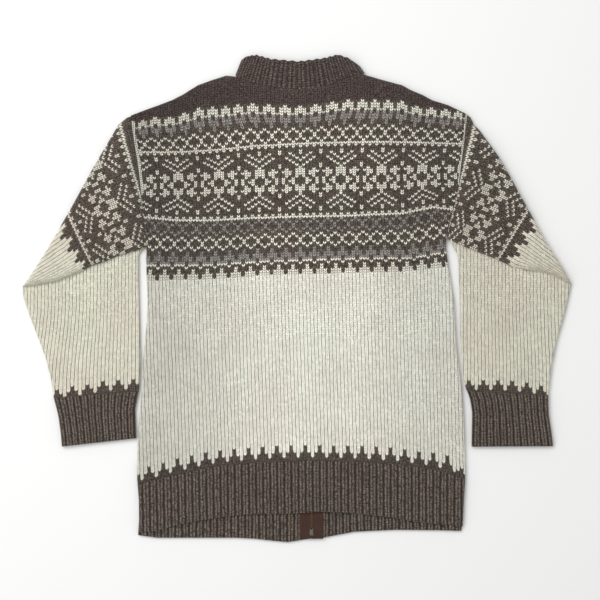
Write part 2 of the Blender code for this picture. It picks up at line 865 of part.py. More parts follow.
def build_zip(group, materials):
    """The closed zip on the inside of the fronts: tapes, chain, box, slider and pull tab."""
    places = [ZIP_FOOT_Y + 3.0, -330.0, -200.0, 0.0, 200.0, 250.0, 256.0, 262.0, 268.0]
    clear = SLIDER_SIZE[1] / 2.0 + SEAM_GAP
    by_slider = [SLIDER_Y - clear - 1.0, SLIDER_Y - clear, SLIDER_Y + clear, ZIP_HEAD_Y]
    tape_floor = FRONT_TOP + SEAM_GAP
    for side, out in (("left", -1.0), ("right", 1.0)):
        rows = []
        for y in places + by_slider:
            near = zip_x(y) + out * (CHAIN_WIDTH / 2.0 + 0.3)
            if abs(y - SLIDER_Y) < clear + 0.5:
                near = zip_x(y) + out * (SLIDER_SIZE[0] / 2.0 + SEAM_GAP)
            far = zip_x(y) + out * TAPE_WIDTH
            low = tape_floor + zip_lift(y)
            rows.append([
                (near, y, low),
                (far, y, low),
                (far, y, low + TAPE_THICK),
                (near, y, low + TAPE_THICK),
            ])
        name = "zip_tape_" + side
        add_object(name, loft(name, rows), group, materials["brown_tape"])
    chain_middle = tape_floor + TAPE_THICK / 2.0
    rows = []
    chain_places = [ZIP_FOOT_Y + 15.0] + places[1:] + [SLIDER_Y - clear]
    for y in chain_places:
        low = chain_middle - CHAIN_THICK / 2.0 + zip_lift(y)
        left = zip_x(y) - CHAIN_WIDTH / 2.0
        right = zip_x(y) + CHAIN_WIDTH / 2.0
        rows.append([
            (left, y, low),
            (right, y, low),
            (right, y, low + CHAIN_THICK),
            (left, y, low + CHAIN_THICK),
        ])
    add_object("zip_chain", loft("zip_chain", rows), group, materials["grey_metal"])
    build_zip_box(group, materials["clear_plastic"])
    build_slider(group, materials["grey_metal"])
    build_pull_tab(group, materials["grey_metal"])


def block(name, centre, size, bevel, group, material):
    """A block with bevelled edges."""
    bm = bmesh.new()
    bmesh.ops.create_cube(bm, size=1.0)
    bmesh.ops.scale(bm, vec=Vector(size) * MM, verts=bm.verts)
    if bevel > 0.0:
        bmesh.ops.bevel(bm, geom=bm.edges, offset=bevel * MM, segments=1, affect="EDGES")
    mesh = bpy.data.meshes.new(name)
    bm.to_mesh(mesh)
    bm.free()
    item = add_object(name, mesh, group, material)
    item.location = Vector(centre) * MM
    return item


def build_zip_box(group, material):
    """The box that holds the foot of the zip together."""
    y = ZIP_FOOT_Y + 9.5
    level = FRONT_TOP + SEAM_GAP + TAPE_THICK / 2.0
    block("zip_box", (zip_x(y), y, level), (5.6, 9.6, 2.4), 0.5, group, material)


def cut_block(name, centre, size):
    """A plain block that cuts or joins another piece."""
    item = block(name, centre, size, 0.0, bpy.data.collections[CUTTERS], None)
    item.hide_render = True
    item.display_type = "WIRE"
    return item


def combine(item, other, operation):
    """Join another block to a piece, or cut it away."""
    modifier = item.modifiers.new(other.name, "BOOLEAN")
    modifier.operation = operation
    modifier.solver = "EXACT"
    modifier.object = other


def build_slider(group, material):
    """The slider at the head of the zip, with a small arch beneath it."""
    x = zip_x(SLIDER_Y)
    level = SLIDER_LEVEL
    height = SLIDER_SIZE[2]
    slider = block("zip_slider", (x, SLIDER_Y, level), SLIDER_SIZE, 0.7, group, material)
    arch_top = level - height / 2.0 + 0.6
    arch_foot = TAB_LEVEL - ARCH_HOLE / 2.0 - ARCH_BAR
    arch_centre = (x, SLIDER_Y, (arch_top + arch_foot) / 2.0)
    arch_size = (ARCH_WIDTH, ARCH_HOLE + 2.0 * ARCH_LEG, arch_top - arch_foot)
    combine(slider, cut_block("arch_block", arch_centre, arch_size), "UNION")
    hole_size = (ARCH_WIDTH + 4.0, ARCH_HOLE, ARCH_HOLE)
    combine(slider, cut_block("arch_hole", (x, SLIDER_Y, TAB_LEVEL), hole_size), "DIFFERENCE")


def build_pull_tab(group, material):
    """The pull tab, whose head bar lies in the slider's arch; its origin is on that bar."""
    x = zip_x(SLIDER_Y)
    axis = Vector((x, SLIDER_Y, TAB_LEVEL)) * MM
    bar = TAB_SIZE[2]
    middle_y = SLIDER_Y + bar / 2.0 - TAB_SIZE[1] / 2.0
    tab = block("zip_pull_tab", (x, middle_y, TAB_LEVEL), TAB_SIZE, 0.25, group, material)
    tab.data.transform(Matrix.Translation(tab.location - axis))
    tab.location = axis
    window_y = SLIDER_Y - bar / 2.0 - TAB_WINDOW / 2.0
    window_size = (ARCH_WIDTH + 0.7, TAB_WINDOW, 4.0)
    combine(tab, cut_block("tab_window", (x, window_y, TAB_LEVEL), window_size), "DIFFERENCE")


def main():
    """Make every piece."""
    clear_scene()
    group = make_collection("zip_cardigan")
    make_collection(CUTTERS)
    materials = {}
    for name, red, green, blue in COLOURS:
        metallic = 0.7 if name == "grey_metal" else 0.0
        materials[name] = make_material(name, (red, green, blue), 0.85 - 0.5 * metallic, metallic)
    build_back(group, materials["cream_wool"])
    build_back_hem(group, materials["brown_wool"])
    for side in ("left", "right"):
        build_front(side, group, materials["cream_wool"])
        build_front_hem(side, group, materials["brown_wool"])
        build_sleeve(side, group, materials["cream_wool"])
        build_cuff(side, group, materials["brown_wool"])
    build_collar(group, materials["brown_wool"])
    build_zip(group, materials)
    for item in bpy.data.objects:
        item.location.y += TABLE_SHIFT_Y * MM


main()
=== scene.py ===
"""Looks of the knitted zip cardigan: every stitch of the outer face, ribs, zip and sewing.

Lengths are in millimetres until a mesh is made. X runs across, +Y towards the collar and
+Z up. Rows of knitting are numbered downwards from the first patterned row of the yoke,
and wales, the upright lines of stitches, from left to right.
"""

import json
import math

import bmesh
import bpy
import numpy as np
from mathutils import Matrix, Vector

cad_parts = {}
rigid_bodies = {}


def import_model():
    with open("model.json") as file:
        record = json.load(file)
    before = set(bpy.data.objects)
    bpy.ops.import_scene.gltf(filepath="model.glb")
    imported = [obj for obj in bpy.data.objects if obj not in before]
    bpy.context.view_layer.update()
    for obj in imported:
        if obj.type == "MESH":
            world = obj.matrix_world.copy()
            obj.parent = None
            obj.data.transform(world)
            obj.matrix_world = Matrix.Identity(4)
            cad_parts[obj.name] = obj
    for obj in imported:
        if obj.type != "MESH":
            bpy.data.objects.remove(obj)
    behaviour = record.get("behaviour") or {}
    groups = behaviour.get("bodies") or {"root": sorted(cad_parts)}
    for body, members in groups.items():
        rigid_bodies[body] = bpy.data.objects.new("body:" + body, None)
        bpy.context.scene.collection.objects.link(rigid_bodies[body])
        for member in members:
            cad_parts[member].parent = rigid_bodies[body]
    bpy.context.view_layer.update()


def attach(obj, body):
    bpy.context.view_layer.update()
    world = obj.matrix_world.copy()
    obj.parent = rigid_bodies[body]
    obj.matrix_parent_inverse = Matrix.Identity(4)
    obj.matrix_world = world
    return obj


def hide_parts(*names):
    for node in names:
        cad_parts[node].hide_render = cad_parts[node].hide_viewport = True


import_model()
bpy.ops.object.select_all(action="DESELECT")

MM = 0.001
TABLE_SHIFT_Y = 1.05

# The photograph's middle, width and scale, for measures read off it
PIXEL = 1.62
MIDDLE_X = 297.0
MIDDLE_Y = 297.5
PHOTO_WIDTH = 600.0

# Cloth levels, as in the solids
WALL = 3.6
BACK_FLOOR = 4.2
SEAM_GAP = 0.3
FOLD_RADIUS = 3.9
SIDE_SEAM_LEVEL = 3.9
TUBE_HEIGHT = 7.4
FOLD_HEIGHT = 15.0
ARMHOLE_HEIGHT = 7.8
ARMHOLE_RAMP = 16.0
SLOT_HEIGHT = 0.8
ZIP_LIFT = 1.9
NECK_LIFT = 1.7
SLIDER_LIFT = 1.2
SWELL_HEIGHT = 1.3
DIMPLE_DEPTH = 0.9

# Rounded edges: how far in from the edge they begin, and how deep a seam dips
FOLD_ROUND = FOLD_RADIUS + 1.5
CREASE_ROUND = 7.5
TUBE_ROUND = 3.7
SEAM_ROUND = 2.4
SEAM_DIP = 1.0
# The relief fades out along a fold or an edge, and by a seam to these shares
SEAM_FADE = 2.0
STITCHES_AT_SEAM = 0.35
RIBS_AT_SEAM = 0.4

# Stitch: width, height, how far its two legs run down to its foot, and how far it stands up
WALE = 5.67
COURSE = 3.86
CHEVRON = 0.72
RELIEF = 1.25
RIB_RELIEF = 1.7
UNDER_RELIEF = 0.9
MIDDLE_WALE = 47.5
# The shares of a stitch's and a rib's height that lie on the wall's own level
STITCH_LEVEL = 0.75
RIB_LEVEL = 0.62
# How far stitches stray across and down, and how much their shade varies
STRAY_ACROSS = 0.5
STRAY_DOWN = 0.45
SHADE_SPREAD = 0.085

ZIP_FOOT_X = 23.5
ZIP_HEAD_X = 14.0
ZIP_FOOT_Y = -390.0
ZIP_HEAD_Y = 312.0
SLIDER_Y = 302.0
TAPE_WIDTH = 19.0
FRONT_GAP = 5.2

# A side's column in the outline's table, and its way out from the middle
COLUMN = {"left": 1, "right": 2}
OUT = {"left": -1.0, "right": 1.0}
# Heights where the sides of the pieces end
SIDE_ENDS = {
    "left": {"shoulder": 294.0, "seam": -303.0, "edge": -380.5, "front_seam": -283.0, "front_edge": -385.4},
    "right": {"shoulder": 296.0, "seam": -296.0, "edge": -370.0, "front_seam": -284.0, "front_edge": -378.5},
}
SIDE_FOOT = -382.0
ARMHOLE_FOOT = 90.0
ARMHOLE_HEAD = 296.0
HEM_GAP = 0.4
# Wales and rows that the grids of stitches cover
BACK_WALES = (-3, 98)
FRONT_WALES = {"left": (-3, 51), "right": (44, 98)}
TOP_ROW = -16
BODY_FOOT_ROW = 154
HEM_ROWS = (146, 182)
FRONT_HEM_ROWS = (147, 184)
FRONT_MIDDLE_X = 18.0

SIDE_OUTLINE = [
    # y, left, right
    (-382.0, -257.6, 265.7),
    (-360.0, -256.0, 268.9),
    (-328.0, -256.4, 270.5),
    (-296.0, -259.0, 272.6),
    (-247.0, -258.6, 272.2),
    (-198.0, -256.0, 270.5),
    (-166.0, -252.9, 268.7),
    (-133.0, -251.0, 265.2),
    (-101.0, -249.2, 261.0),
    (-69.0, -246.2, 257.8),
    (-36.0, -243.2, 256.0),
    (-4.0, -242.4, 254.0),
    (28.0, -243.6, 249.2),
    (60.0, -244.4, 244.0),
    (84.0, -243.9, 241.0),
    (98.0, -245.2, 242.0),
    (116.0, -247.0, 245.6),
    (138.0, -249.2, 251.6),
    (160.0, -251.3, 257.6),
    (180.0, -253.3, 262.0),
    (226.0, -259.4, 267.6),
    (262.0, -265.2, 272.0),
    (296.0, -269.7, 275.4),
]
BACK_TOP = [
    # x, y
    (-269.7, 294.8),
    (-246.2, 303.8),
    (-223.6, 311.9),
    (-202.5, 320.0),
    (-186.3, 328.1),
    (-173.3, 336.2),
    (-160.4, 344.2),
    (-137.7, 352.4),
    (-115.0, 359.6),
    (-96.6, 357.9),
    (-79.4, 350.1),
    (-50.2, 342.6),
    (-8.1, 337.3),
    (14.6, 337.0),
    (38.4, 340.2),
    (69.7, 351.7),
    (90.0, 360.0),
    (104.0, 362.8),
    (139.3, 352.4),
    (170.1, 344.2),
    (184.7, 336.2),
    (204.1, 328.1),
    (218.7, 320.0),
    (244.6, 311.9),
    (275.4, 297.3),
]
FRONT_NECK = [
    # x, y
    (-96.6, 357.9),
    (-82.0, 325.0),
    (-58.0, 296.0),
    (-25.0, 278.0),
    (14.0, 272.0),
    (50.0, 279.0),
    (76.0, 298.0),
    (94.0, 328.0),
    (104.0, 362.8),
]
BACK_HEM_SEAM = [
    # x, y, just below the cream between the teeth
    (-263.0, -304.0),
    (-226.0, -294.5),
    (-201.0, -288.0),
    (-177.0, -283.0),
    (-155.0, -278.0),
    (-131.0, -273.5),
    (-109.0, -270.5),
    (-65.0, -267.0),
    (-20.0, -264.5),
    (25.0, -263.5),
    (71.0, -265.0),
    (118.0, -267.0),
    (164.0, -270.0),
    (209.0, -276.5),
    (231.0, -281.0),
    (257.0, -287.5),
    (276.0, -297.0),
]
BACK_HEM_EDGE = [
    # x, y
    (-257.6, -380.5),
    (-225.2, -378.3),
    (-194.4, -368.6),
    (-158.8, -362.1),
    (-100.4, -352.9),
    (-59.9, -350.7),
    (-8.1, -349.9),
    (37.3, -346.8),
    (87.5, -349.1),
    (160.4, -357.2),
    (191.2, -363.7),
    (231.7, -367.6),
    (268.9, -370.0),
]
FRONT_HEM_SEAM = [
    # x, y
    (-260.0, -283.0),
    (-200.0, -291.0),
    (-100.0, -301.0),
    (20.0, -304.0),
    (120.0, -298.0),
    (210.0, -289.0),
    (274.0, -285.0),
]
FRONT_HEM_EDGE = [
    # x, y
    (-257.6, -385.4),
    (-226.8, -389.6),
    (-100.4, -389.6),
    (-69.7, -391.2),
    (-38.9, -394.5),
    (-14.6, -396.7),
    (10.9, -392.7),
    (23.5, -391.9),
    (42.1, -389.6),
    (66.4, -384.8),
    (92.3, -379.9),
    (160.4, -376.7),
    (231.7, -377.5),
    (268.9, -378.3),
]

# Lines of equal row across the back, read off the photograph in its pixels
ROW_LINES = [
    # row, then x and y of points along it
    (1.0, [(138, 121), (154, 117), (170, 117), (185, 112.5), (200, 107), (227, 105.5), (250, 103),
           (268, 104), (285, 105.5), (301, 106), (318, 104), (336, 101), (351, 99), (400, 100),
           (415, 105.5), (444, 108.7), (460, 111)]),
    (16.0, [(140, 151), (177, 151), (215, 149), (253, 145), (300, 142.5), (351, 141), (389, 140.6),
            (453, 142.5)]),
    (32.0, [(143, 186), (178, 184), (217, 182), (258, 181), (300, 179.6), (341, 178), (381, 177.6),
            (420.5, 175.7), (452, 175)]),
    (48.0, [(148.5, 216), (176.5, 219), (215, 219), (253, 216.6), (300, 215.3), (338, 214.7),
            (402, 212), (434, 205.7), (450.5, 208)]),
    (66.0, [(159, 264), (202, 264), (228, 262.5), (266, 260), (300, 259), (364, 257), (408, 257),
            (421, 255), (444, 251)]),
    (71.5, [(155, 279), (184, 278), (200, 278), (228, 276.5), (271, 273), (300, 272.7), (359, 271),
            (402, 270), (426, 267.6), (440, 265.7)]),
    (145.5, [(148.7, 467.6), (164.6, 463.8), (179, 459), (194, 456), (208, 453), (222.7, 451),
             (249.5, 449), (278, 446.6), (305, 446), (334, 446.6), (363, 447), (392, 448.5),
             (406, 450.4), (420, 453), (434, 454), (449, 457), (462, 470)]),
]
SEAM_ROW = 151.5
SPLIT_ROW = 76

# Stitch width in pixels by row, and where the middle wale lies
WALE_WIDTHS = [
    # row, width, middle
    (1.0, 3.55, 300.4),
    (12.0, 3.55, 300.4),
    (20.0, 3.43, 300.4),
    (32.0, 3.37, 300.2),
    (48.0, 3.43, 300.2),
    (66.0, 3.55, 300.2),
    (71.5, 3.58, 300.2),
    (100.0, 3.57, 302.0),
    (145.5, 3.55, 305.3),
    (176.0, 3.53, 306.0),
]
# How far the neck pulls the top rows outwards: distance from the middle, pull, in pixels
NECK_PULL = [
    (0, 0), (15, 1), (30, 3.5), (45, 5.6), (60, 5.4), (73, 3.2), (86, 2.4), (100, 2.6), (146, 3.4), (165, 0),
]

# Yoke chart, one line a row: the colours from the middle of a star to half-way to the next,
# seven stitches, mirrored from there. x light, l pale grey, g grey, . dark
YOKE = [
    "x...x..", "xx.xxx.", "xx.xxx.", ".xlx.xl", ".g.g.g.", "gg.ggg.", "gg.ggg.", "g...g..",
    "g...g..", "..x...x", ".x.x.x.", "x...x..", "x...x..", ".x.x.x.", "..x...x", "xxxxxxx",
    "x.x.x.x", ".......", "x.....x", "x..x..x", "..x....", ".x..x..", "x..x...", "..x....",
    ".x....x", "x.....x", "xx..x..", "xx.xxx.", "xx.xx..", ".x..x..", "..x..x.", "..xx.x.",
    "..x..x.", ".x..x..", "xx.xx..", "xx.xxx.", "x...x..", "x.....x", ".x....x", "..x....",
    "x..x...", ".x..x..", "..x....", "x..x..x", "x.....x", ".......", "x.x.x.x", "xxxxxxx",
    "g...g..", ".g.g.g.", "..g...g", "..g...g", ".g.g.g.", "g...g..", "..x...x", ".x.x.x.",
    "x...x..", "x...x..", ".x.x.x.", "..x...x", "g...g..", "g...g..", "gg.ggg.", "gg.ggg.",
    ".ggg.gg", ".xxx.xx", "x...x..", "..x...x", "..x...x", ".xxx.xx", ".xxx.xx",
]
STAR_WALE = 11
# Rows where the hem's dark teeth begin, one stitch wide and then three, and where all is dark
HEM_TEETH = (145, 148, 150)

# Yarn shades as they look in daylight: name, red, green, blue out of 255
SHADES = {
    "cream": (235, 233, 221),
    "light": (236, 233, 219),
    "pale": (186, 182, 176),
    "grey": (146, 142, 138),
    # painted shade: the sleeves' two yarns below are darker copies of light and cream, for sleeves lying in
    # less light
    "worn": (214, 209, 194),
    "sleeve": (223, 219, 202),
    "dark": (86, 77, 70),
    "top": (75, 64, 61),
}
# The yarns of the plain parts, which lie smoother than knitting with strands behind it
PLAIN_YARNS = ("cream", "sleeve")


def tone(red, green, blue):
    """A daylight colour out of 255 as light that a shader adds up."""
    parts = [channel / 255.0 for channel in (red, green, blue)]
    return tuple(p / 12.92 if p < 0.04045 else ((p + 0.055) / 1.055) ** 2.4 for p in parts)


def smooth(low, high, value):
    """0 below low, 1 above high, an even S between; works on whole arrays."""
    part = np.clip((value - low) / (high - low), 0.0, 1.0)
    return part * part * (3.0 - 2.0 * part)


def read(table, place, column=1):
    """Values from a table whose first column runs upwards."""
    return np.interp(place, [row[0] for row in table], [row[column] for row in table])


def from_pixels(points):
    """Points read off the photograph, in millimetres."""
    return [((x - MIDDLE_X) * PIXEL, (MIDDLE_Y - y) * PIXEL) for x, y in points]


def round_drop(distance, radius, depth):
    """How far a rounded edge lies below its crown."""
    part = np.clip(1.0 - distance / radius, 0.0, 1.0)
    return depth * (1.0 - np.sqrt(1.0 - part * part))


def zip_x(y):
    """The zip's centre line."""
    part = (y - ZIP_FOOT_Y) / (ZIP_HEAD_Y - ZIP_FOOT_Y)
    return ZIP_FOOT_X + part * (ZIP_HEAD_X - ZIP_FOOT_X)


def back_floor(x, y):
    """The level of the back's underside: over the fronts, the zip and the collar."""
    level = BACK_FLOOR + ZIP_LIFT * (1.0 - smooth(14.0, 60.0, np.abs(x - zip_x(y))))
    over_collar = smooth(235.0, 268.0, y) * (1.0 - smooth(105.0, 150.0, np.abs(x - 4.0)))
    by_slider = np.hypot(x - ZIP_HEAD_X, 0.7 * (y - SLIDER_Y))
    return level + over_collar * (NECK_LIFT + SLIDER_LIFT * (1.0 - smooth(12.0, 45.0, by_slider)))


def back_swell(x, y):
    """Slow waves in the back, with one soft hollow left of the middle."""
    wave = 0.5 + 0.5 * np.sin(x / 61.0 + 0.8 * np.sin(y / 95.0))
    wave = wave * (0.5 + 0.5 * np.sin(y / 74.0 + 1.3))
    hollow = np.exp(-((x + 173.0) / 34.0) ** 2 - ((y + 109.0) / 46.0) ** 2)
    return SWELL_HEIGHT * wave - DIMPLE_DEPTH * hollow


class Line:
    """A line of straight pieces, closed or open, that answers how far points lie from it."""

    def __init__(self, points, closed=False):
        self.points = np.array(points, dtype=float)
        ends = np.roll(self.points, -1, axis=0) if closed else self.points[1:]
        self.start = self.points if closed else self.points[:-1]
        self.step = ends - self.start
        self.size = np.maximum(np.hypot(self.step[:, 0], self.step[:, 1]), 1e-9)
        self.gone = np.concatenate([[0.0], np.cumsum(self.size)])
        self.length = self.gone[-1]

    def nearest(self, x, y):
        """Distance, nearest point and its place along the line, for each point."""
        shape = np.shape(x)
        x = np.ravel(x)
        y = np.ravel(y)
        best = np.full(x.size, 1e18)
        spot = np.zeros((x.size, 3))
        for start, step, size, gone in zip(self.start, self.step, self.size, self.gone):
            part = ((x - start[0]) * step[0] + (y - start[1]) * step[1]) / (size * size)
            part = np.clip(part, 0.0, 1.0)
            near_x = start[0] + part * step[0]
            near_y = start[1] + part * step[1]
            away = (x - near_x) ** 2 + (y - near_y) ** 2
            closer = away < best
            best = np.where(closer, away, best)
            spot[closer, 0] = near_x[closer]
            spot[closer, 1] = near_y[closer]
            spot[closer, 2] = gone + part[closer] * size
        return (
            np.sqrt(best).reshape(shape),
            spot[:, 0].reshape(shape),
            spot[:, 1].reshape(shape),
            spot[:, 2].reshape(shape),
        )

    def away(self, x, y):
        """Distance alone."""
        return self.nearest(x, y)[0]

    def holds(self, x, y):
        """Which points lie inside the closed line."""
        inside = np.zeros(np.shape(x), dtype=bool)
        for start, step in zip(self.start, self.step):
            end = start + step
            if start[1] == end[1]:
                continue
            crosses = (start[1] > y) != (end[1] > y)
            where = start[0] + (y - start[1]) / (end[1] - start[1]) * step[0]
            inside ^= crosses & (x < where)
        return inside


def kept_cells(inside):
    """Grid cells with a corner inside, with cells that touch at one corner only filled in."""
    cells = inside[:-1, :-1] | inside[1:, :-1] | inside[:-1, 1:] | inside[1:, 1:]
    for _ in range(4):
        one = cells[:-1, :-1] & cells[1:, 1:] & ~cells[1:, :-1] & ~cells[:-1, 1:]
        two = ~cells[:-1, :-1] & ~cells[1:, 1:] & cells[1:, :-1] & cells[:-1, 1:]
        both = one | two
        if not both.any():
            break
        cells[:-1, :-1] |= both
        cells[1:, 1:] |= both
        cells[1:, :-1] |= both
        cells[:-1, 1:] |= both
    return cells


def rim_loop(faces):
    """The points round the open edge of a sheet of faces, in its faces' turning order."""
    used = dict.fromkeys((a, b) for face in faces for a, b in zip(face, face[1:] + face[:1]))
    follow = {a: b for a, b in used if (b, a) not in used}
    loops = []
    left = set(follow)
    while left:
        first = min(left)
        loop = [first]
        left.discard(first)
        step = follow[first]
        while step != first and step in left:
            loop.append(step)
            left.discard(step)
            step = follow[step]
        loops.append(loop)
    return max(loops, key=len)


def zip_rims(one, two, along, length):
    """Triangles between two loops that run the same way, by their place along the outline."""
    def turned(loop):
        places = np.array([along[v] for v in loop])
        steps = np.diff(np.concatenate([places, places[:1]]))
        steps = (steps + length / 2.0) % length - length / 2.0
        if steps.sum() < 0.0:
            steps = -steps
            places = (length - places) % length
        start = int(np.argmin(places))
        order = list(range(start, len(loop))) + list(range(start))
        gone = places[order[0]] + np.concatenate([[0.0], np.cumsum(steps[order[:-1]])])
        gone = np.maximum.accumulate(gone).tolist()
        return [loop[k] for k in order], gone

    one, gone_one = turned(one)
    two, gone_two = turned(two)
    end_one = gone_one[0] + length
    end_two = gone_two[0] + length
    faces = []
    i = 0
    j = 0
    while i < len(one) or j < len(two):
        next_one = (gone_one[i + 1] if i + 1 < len(one) else end_one) if i < len(one) else 1e18
        next_two = (gone_two[j + 1] if j + 1 < len(two) else end_two) if j < len(two) else 1e18
        a = one[i % len(one)]
        b = two[j % len(two)]
        if next_one <= next_two:
            faces.append([a, b, one[(i + 1) % len(one)]])
            i += 1
        else:
            faces.append([a, b, two[(j + 1) % len(two)]])
            j += 1
    return faces


def uneven(wale, row, seed):
    """Small slow shifts from stitch to stitch, as hand knitting has."""
    size = 256
    field = np.random.default_rng(seed).uniform(-1.0, 1.0, (size, size))
    w = np.floor(wale).astype(int)
    r = np.floor(row / 2.0).astype(int)
    across = smooth(0.0, 1.0, wale - w)
    down = smooth(0.0, 1.0, row / 2.0 - r)
    upper, lower = [
        field[k % size, w % size] * (1.0 - across) + field[k % size, (w + 1) % size] * across
        for k in (r, r + 1)
    ]
    return upper * (1.0 - down) + lower * down


def knit_side(outline, place, level, wales, rows, fine, chevron):
    """One side of a knitted wall: its points, pattern places, faces, stitches and rim places."""
    across, down = fine
    wale = np.arange(wales[0] * across, wales[1] * across + 1) / across
    row = np.arange(rows[0] * down, rows[1] * down + 1) / down
    wale, row = np.meshgrid(wale, row)
    leg = 1.0 - np.abs(2.0 * (wale % 1.0) - 1.0)
    x, y = place(wale, row + chevron * (leg - 0.5))
    if chevron > 0.0:
        x = x + STRAY_ACROSS * uneven(wale, row, 11)
        y = y + STRAY_DOWN * uneven(wale, row, 12)
    inside = outline.holds(x, y)
    cells = kept_cells(inside)
    _, near_x, near_y, along = outline.nearest(x, y)
    x = np.where(inside, x, near_x)
    y = np.where(inside, y, near_y)
    z = level(x, y, wale, row)
    index = np.arange(wale.size).reshape(wale.shape)
    corner = [index[:-1, :-1], index[1:, :-1], index[1:, 1:], index[:-1, 1:]]
    quads = np.stack([c[cells] for c in corner], axis=1)
    at = np.argwhere(cells)
    stitch_row = np.floor(rows[0] + (at[:, 0] + 0.5) / down).astype(int)
    stitch_wale = np.floor(wales[0] + (at[:, 1] + 0.5) / across).astype(int)
    points = np.stack([x.ravel(), y.ravel(), z.ravel()], axis=1)
    pattern = np.stack([wale.ravel(), row.ravel()], axis=1)
    flat = points[:, :2]
    a = flat[quads[:, 1]] - flat[quads[:, 0]]
    b = flat[quads[:, 3]] - flat[quads[:, 0]]
    turns = float(np.sum(a[:, 0] * b[:, 1] - a[:, 1] * b[:, 0]))
    if turns < 0.0:
        quads = quads[:, ::-1]
    return points, pattern, quads, stitch_wale, stitch_row, along.ravel()


SAME_PLACE = 0.005


def merged(points, quads):
    """Faces with points in the same place joined and empty faces dropped, and which were kept."""
    used = np.unique(quads)
    keys = np.round(points[used, :2] / SAME_PLACE).astype(np.int64)
    _, first, back = np.unique(keys, axis=0, return_index=True, return_inverse=True)
    target = np.arange(len(points))
    target[used] = used[first][back.ravel()]
    faces = []
    kept = []
    for k, quad in enumerate(target[quads].tolist()):
        face = [v for i, v in enumerate(quad) if v != quad[i - 1]]
        if len(face) > 2 and len(set(face)) == len(face):
            faces.append(face)
            kept.append(k)
    return faces, np.array(kept)


def stitch_relief(wale, row):
    """The height of a stitch's two legs, 0 in the grooves to 1 on their crowns."""
    part = wale % 1.0
    legs = np.interp(part, [0.0, 0.25, 0.5, 0.75, 1.0], [0.0, 1.0, 0.38, 1.0, 0.0])
    crown = 0.5 + 0.5 * (1.0 - np.abs(2.0 * (row % 1.0) - 1.0))
    return legs * crown


def rib_relief(wale, row):
    """Knit wales raised, and the wales between them sunk, with the stitches' crowns."""
    lift = 0.5 + 0.5 * np.cos(2.0 * np.pi * (wale - 0.5) / 2.0)
    crown = 0.8 + 0.2 * (1.0 - np.abs(2.0 * (row % 1.0) - 1.0))
    split = 1.0 - 0.22 * np.exp(-(((wale - 0.5 + 1.0) % 2.0 - 1.0) / 0.16) ** 2)
    return lift * crown * split


def relief_left(edge, reach, seam, kept):
    """The share of the relief that is left near an edge, where it ends, and near a seam."""
    return smooth(0.0, reach, edge) * (kept + (1.0 - kept) * smooth(0.0, SEAM_FADE, seam))


def stitch_lift(wale, row, fade):
    """How far stitches stand over their wall's level, less where they fade out."""
    return (stitch_relief(wale, row) - STITCH_LEVEL) * RELIEF * fade


def rib_lift(wale, row, fade):
    """How far ribs stand over their wall's level, less where they fade out."""
    return (rib_relief(wale, row) - RIB_LEVEL) * RIB_RELIEF * fade


def shade_table(names, wale, row, seed):
    """Yarn shades, a little different from stitch to stitch, and 1 where a pattern is knitted in."""
    shades = np.array([(*tone(*SHADES[name]), 0.0 if name in PLAIN_YARNS else 1.0) for name in SHADES])
    order = {name: k for k, name in enumerate(SHADES)}
    base = shades[[order[name] for name in names]]
    size = 512
    field = np.random.default_rng(seed).uniform(-1.0, 1.0, (size, size))
    base[:, :3] *= (1.0 + SHADE_SPREAD * field[row % size, wale % size])[:, None]
    return base


def knit_shell(name, outline, place, top, floor, wales, rows, names_of, seed, face_down=False, fine=(4, 2)):
    """A closed knitted wall: stitches in relief on its face, plain rows on its other side."""
    fine_level, plain_level = (floor, top) if face_down else (top, floor)
    face = knit_side(outline, place, fine_level, wales, rows, fine, CHEVRON)
    back = knit_side(outline, place, plain_level, wales, rows, (1, 1), 0.0)
    points, pattern, along = [np.concatenate([face[k], back[k]]) for k in (0, 1, 5)]
    face_list, face_kept = merged(face[0], face[2])
    back_list, back_kept = merged(back[0], back[2])
    back_list = [[v + len(face[0]) for v in f] for f in back_list]
    rim = zip_rims(rim_loop(face_list), rim_loop(back_list), along, outline.length)
    if face_down:
        face_list = [f[::-1] for f in face_list]
    else:
        back_list = [f[::-1] for f in back_list]
    shades = []
    for side, kept, draw in ((face, face_kept, seed), (back, back_kept, seed + 1)):
        wale = side[3][kept]
        row = side[4][kept]
        names = names_of(wale, row, side[0][side[2][kept, 0]])
        shades.append(shade_table(names, wale, row, draw))
    # a rim face takes the shade of a stitch that has its first point
    shade_at = {}
    for f, shade in zip(face_list, shades[0]):
        for v in f:
            shade_at[v] = shade
    for f, shade in zip(back_list, shades[1]):
        for v in f:
            shade_at.setdefault(v, shade)
    shades.append(np.array([shade_at[f[0]] for f in rim]))
    return assemble(name, points, face_list + back_list + rim, np.concatenate(shades), pattern)


SHARP_ANGLE = 72.0


def assemble(name, points, faces, shades, pattern):
    """A mesh with a yarn shade on every face and the pattern places as its UV map."""
    used, corners = np.unique(np.concatenate([np.array(f) for f in faces]), return_inverse=True)
    sizes = [len(f) for f in faces]
    mesh = bpy.data.meshes.new(name)
    place = points[used] * MM
    place[:, 1] += TABLE_SHIFT_Y * MM
    mesh.vertices.add(len(used))
    mesh.vertices.foreach_set("co", place.ravel())
    mesh.loops.add(len(corners))
    mesh.loops.foreach_set("vertex_index", corners.astype(np.int32))
    starts = np.concatenate([[0], np.cumsum(sizes)[:-1]]).astype(np.int32)
    mesh.polygons.add(len(sizes))
    mesh.polygons.foreach_set("loop_start", starts)
    mesh.update(calc_edges=True)
    yarn = mesh.color_attributes.new("yarn", "FLOAT_COLOR", "CORNER")
    yarn.data.foreach_set("color", np.repeat(shades, sizes, axis=0).ravel())
    layer = mesh.uv_layers.new(name="stitches")
    layer.data.foreach_set("uv", pattern[used][corners].ravel())
    mesh.validate()
    mesh.shade_smooth()
    mesh.set_sharp_from_angle(angle=math.radians(SHARP_ANGLE))
    item = bpy.data.objects.new(name, mesh)
    bpy.context.scene.collection.objects.link(item)
    return item


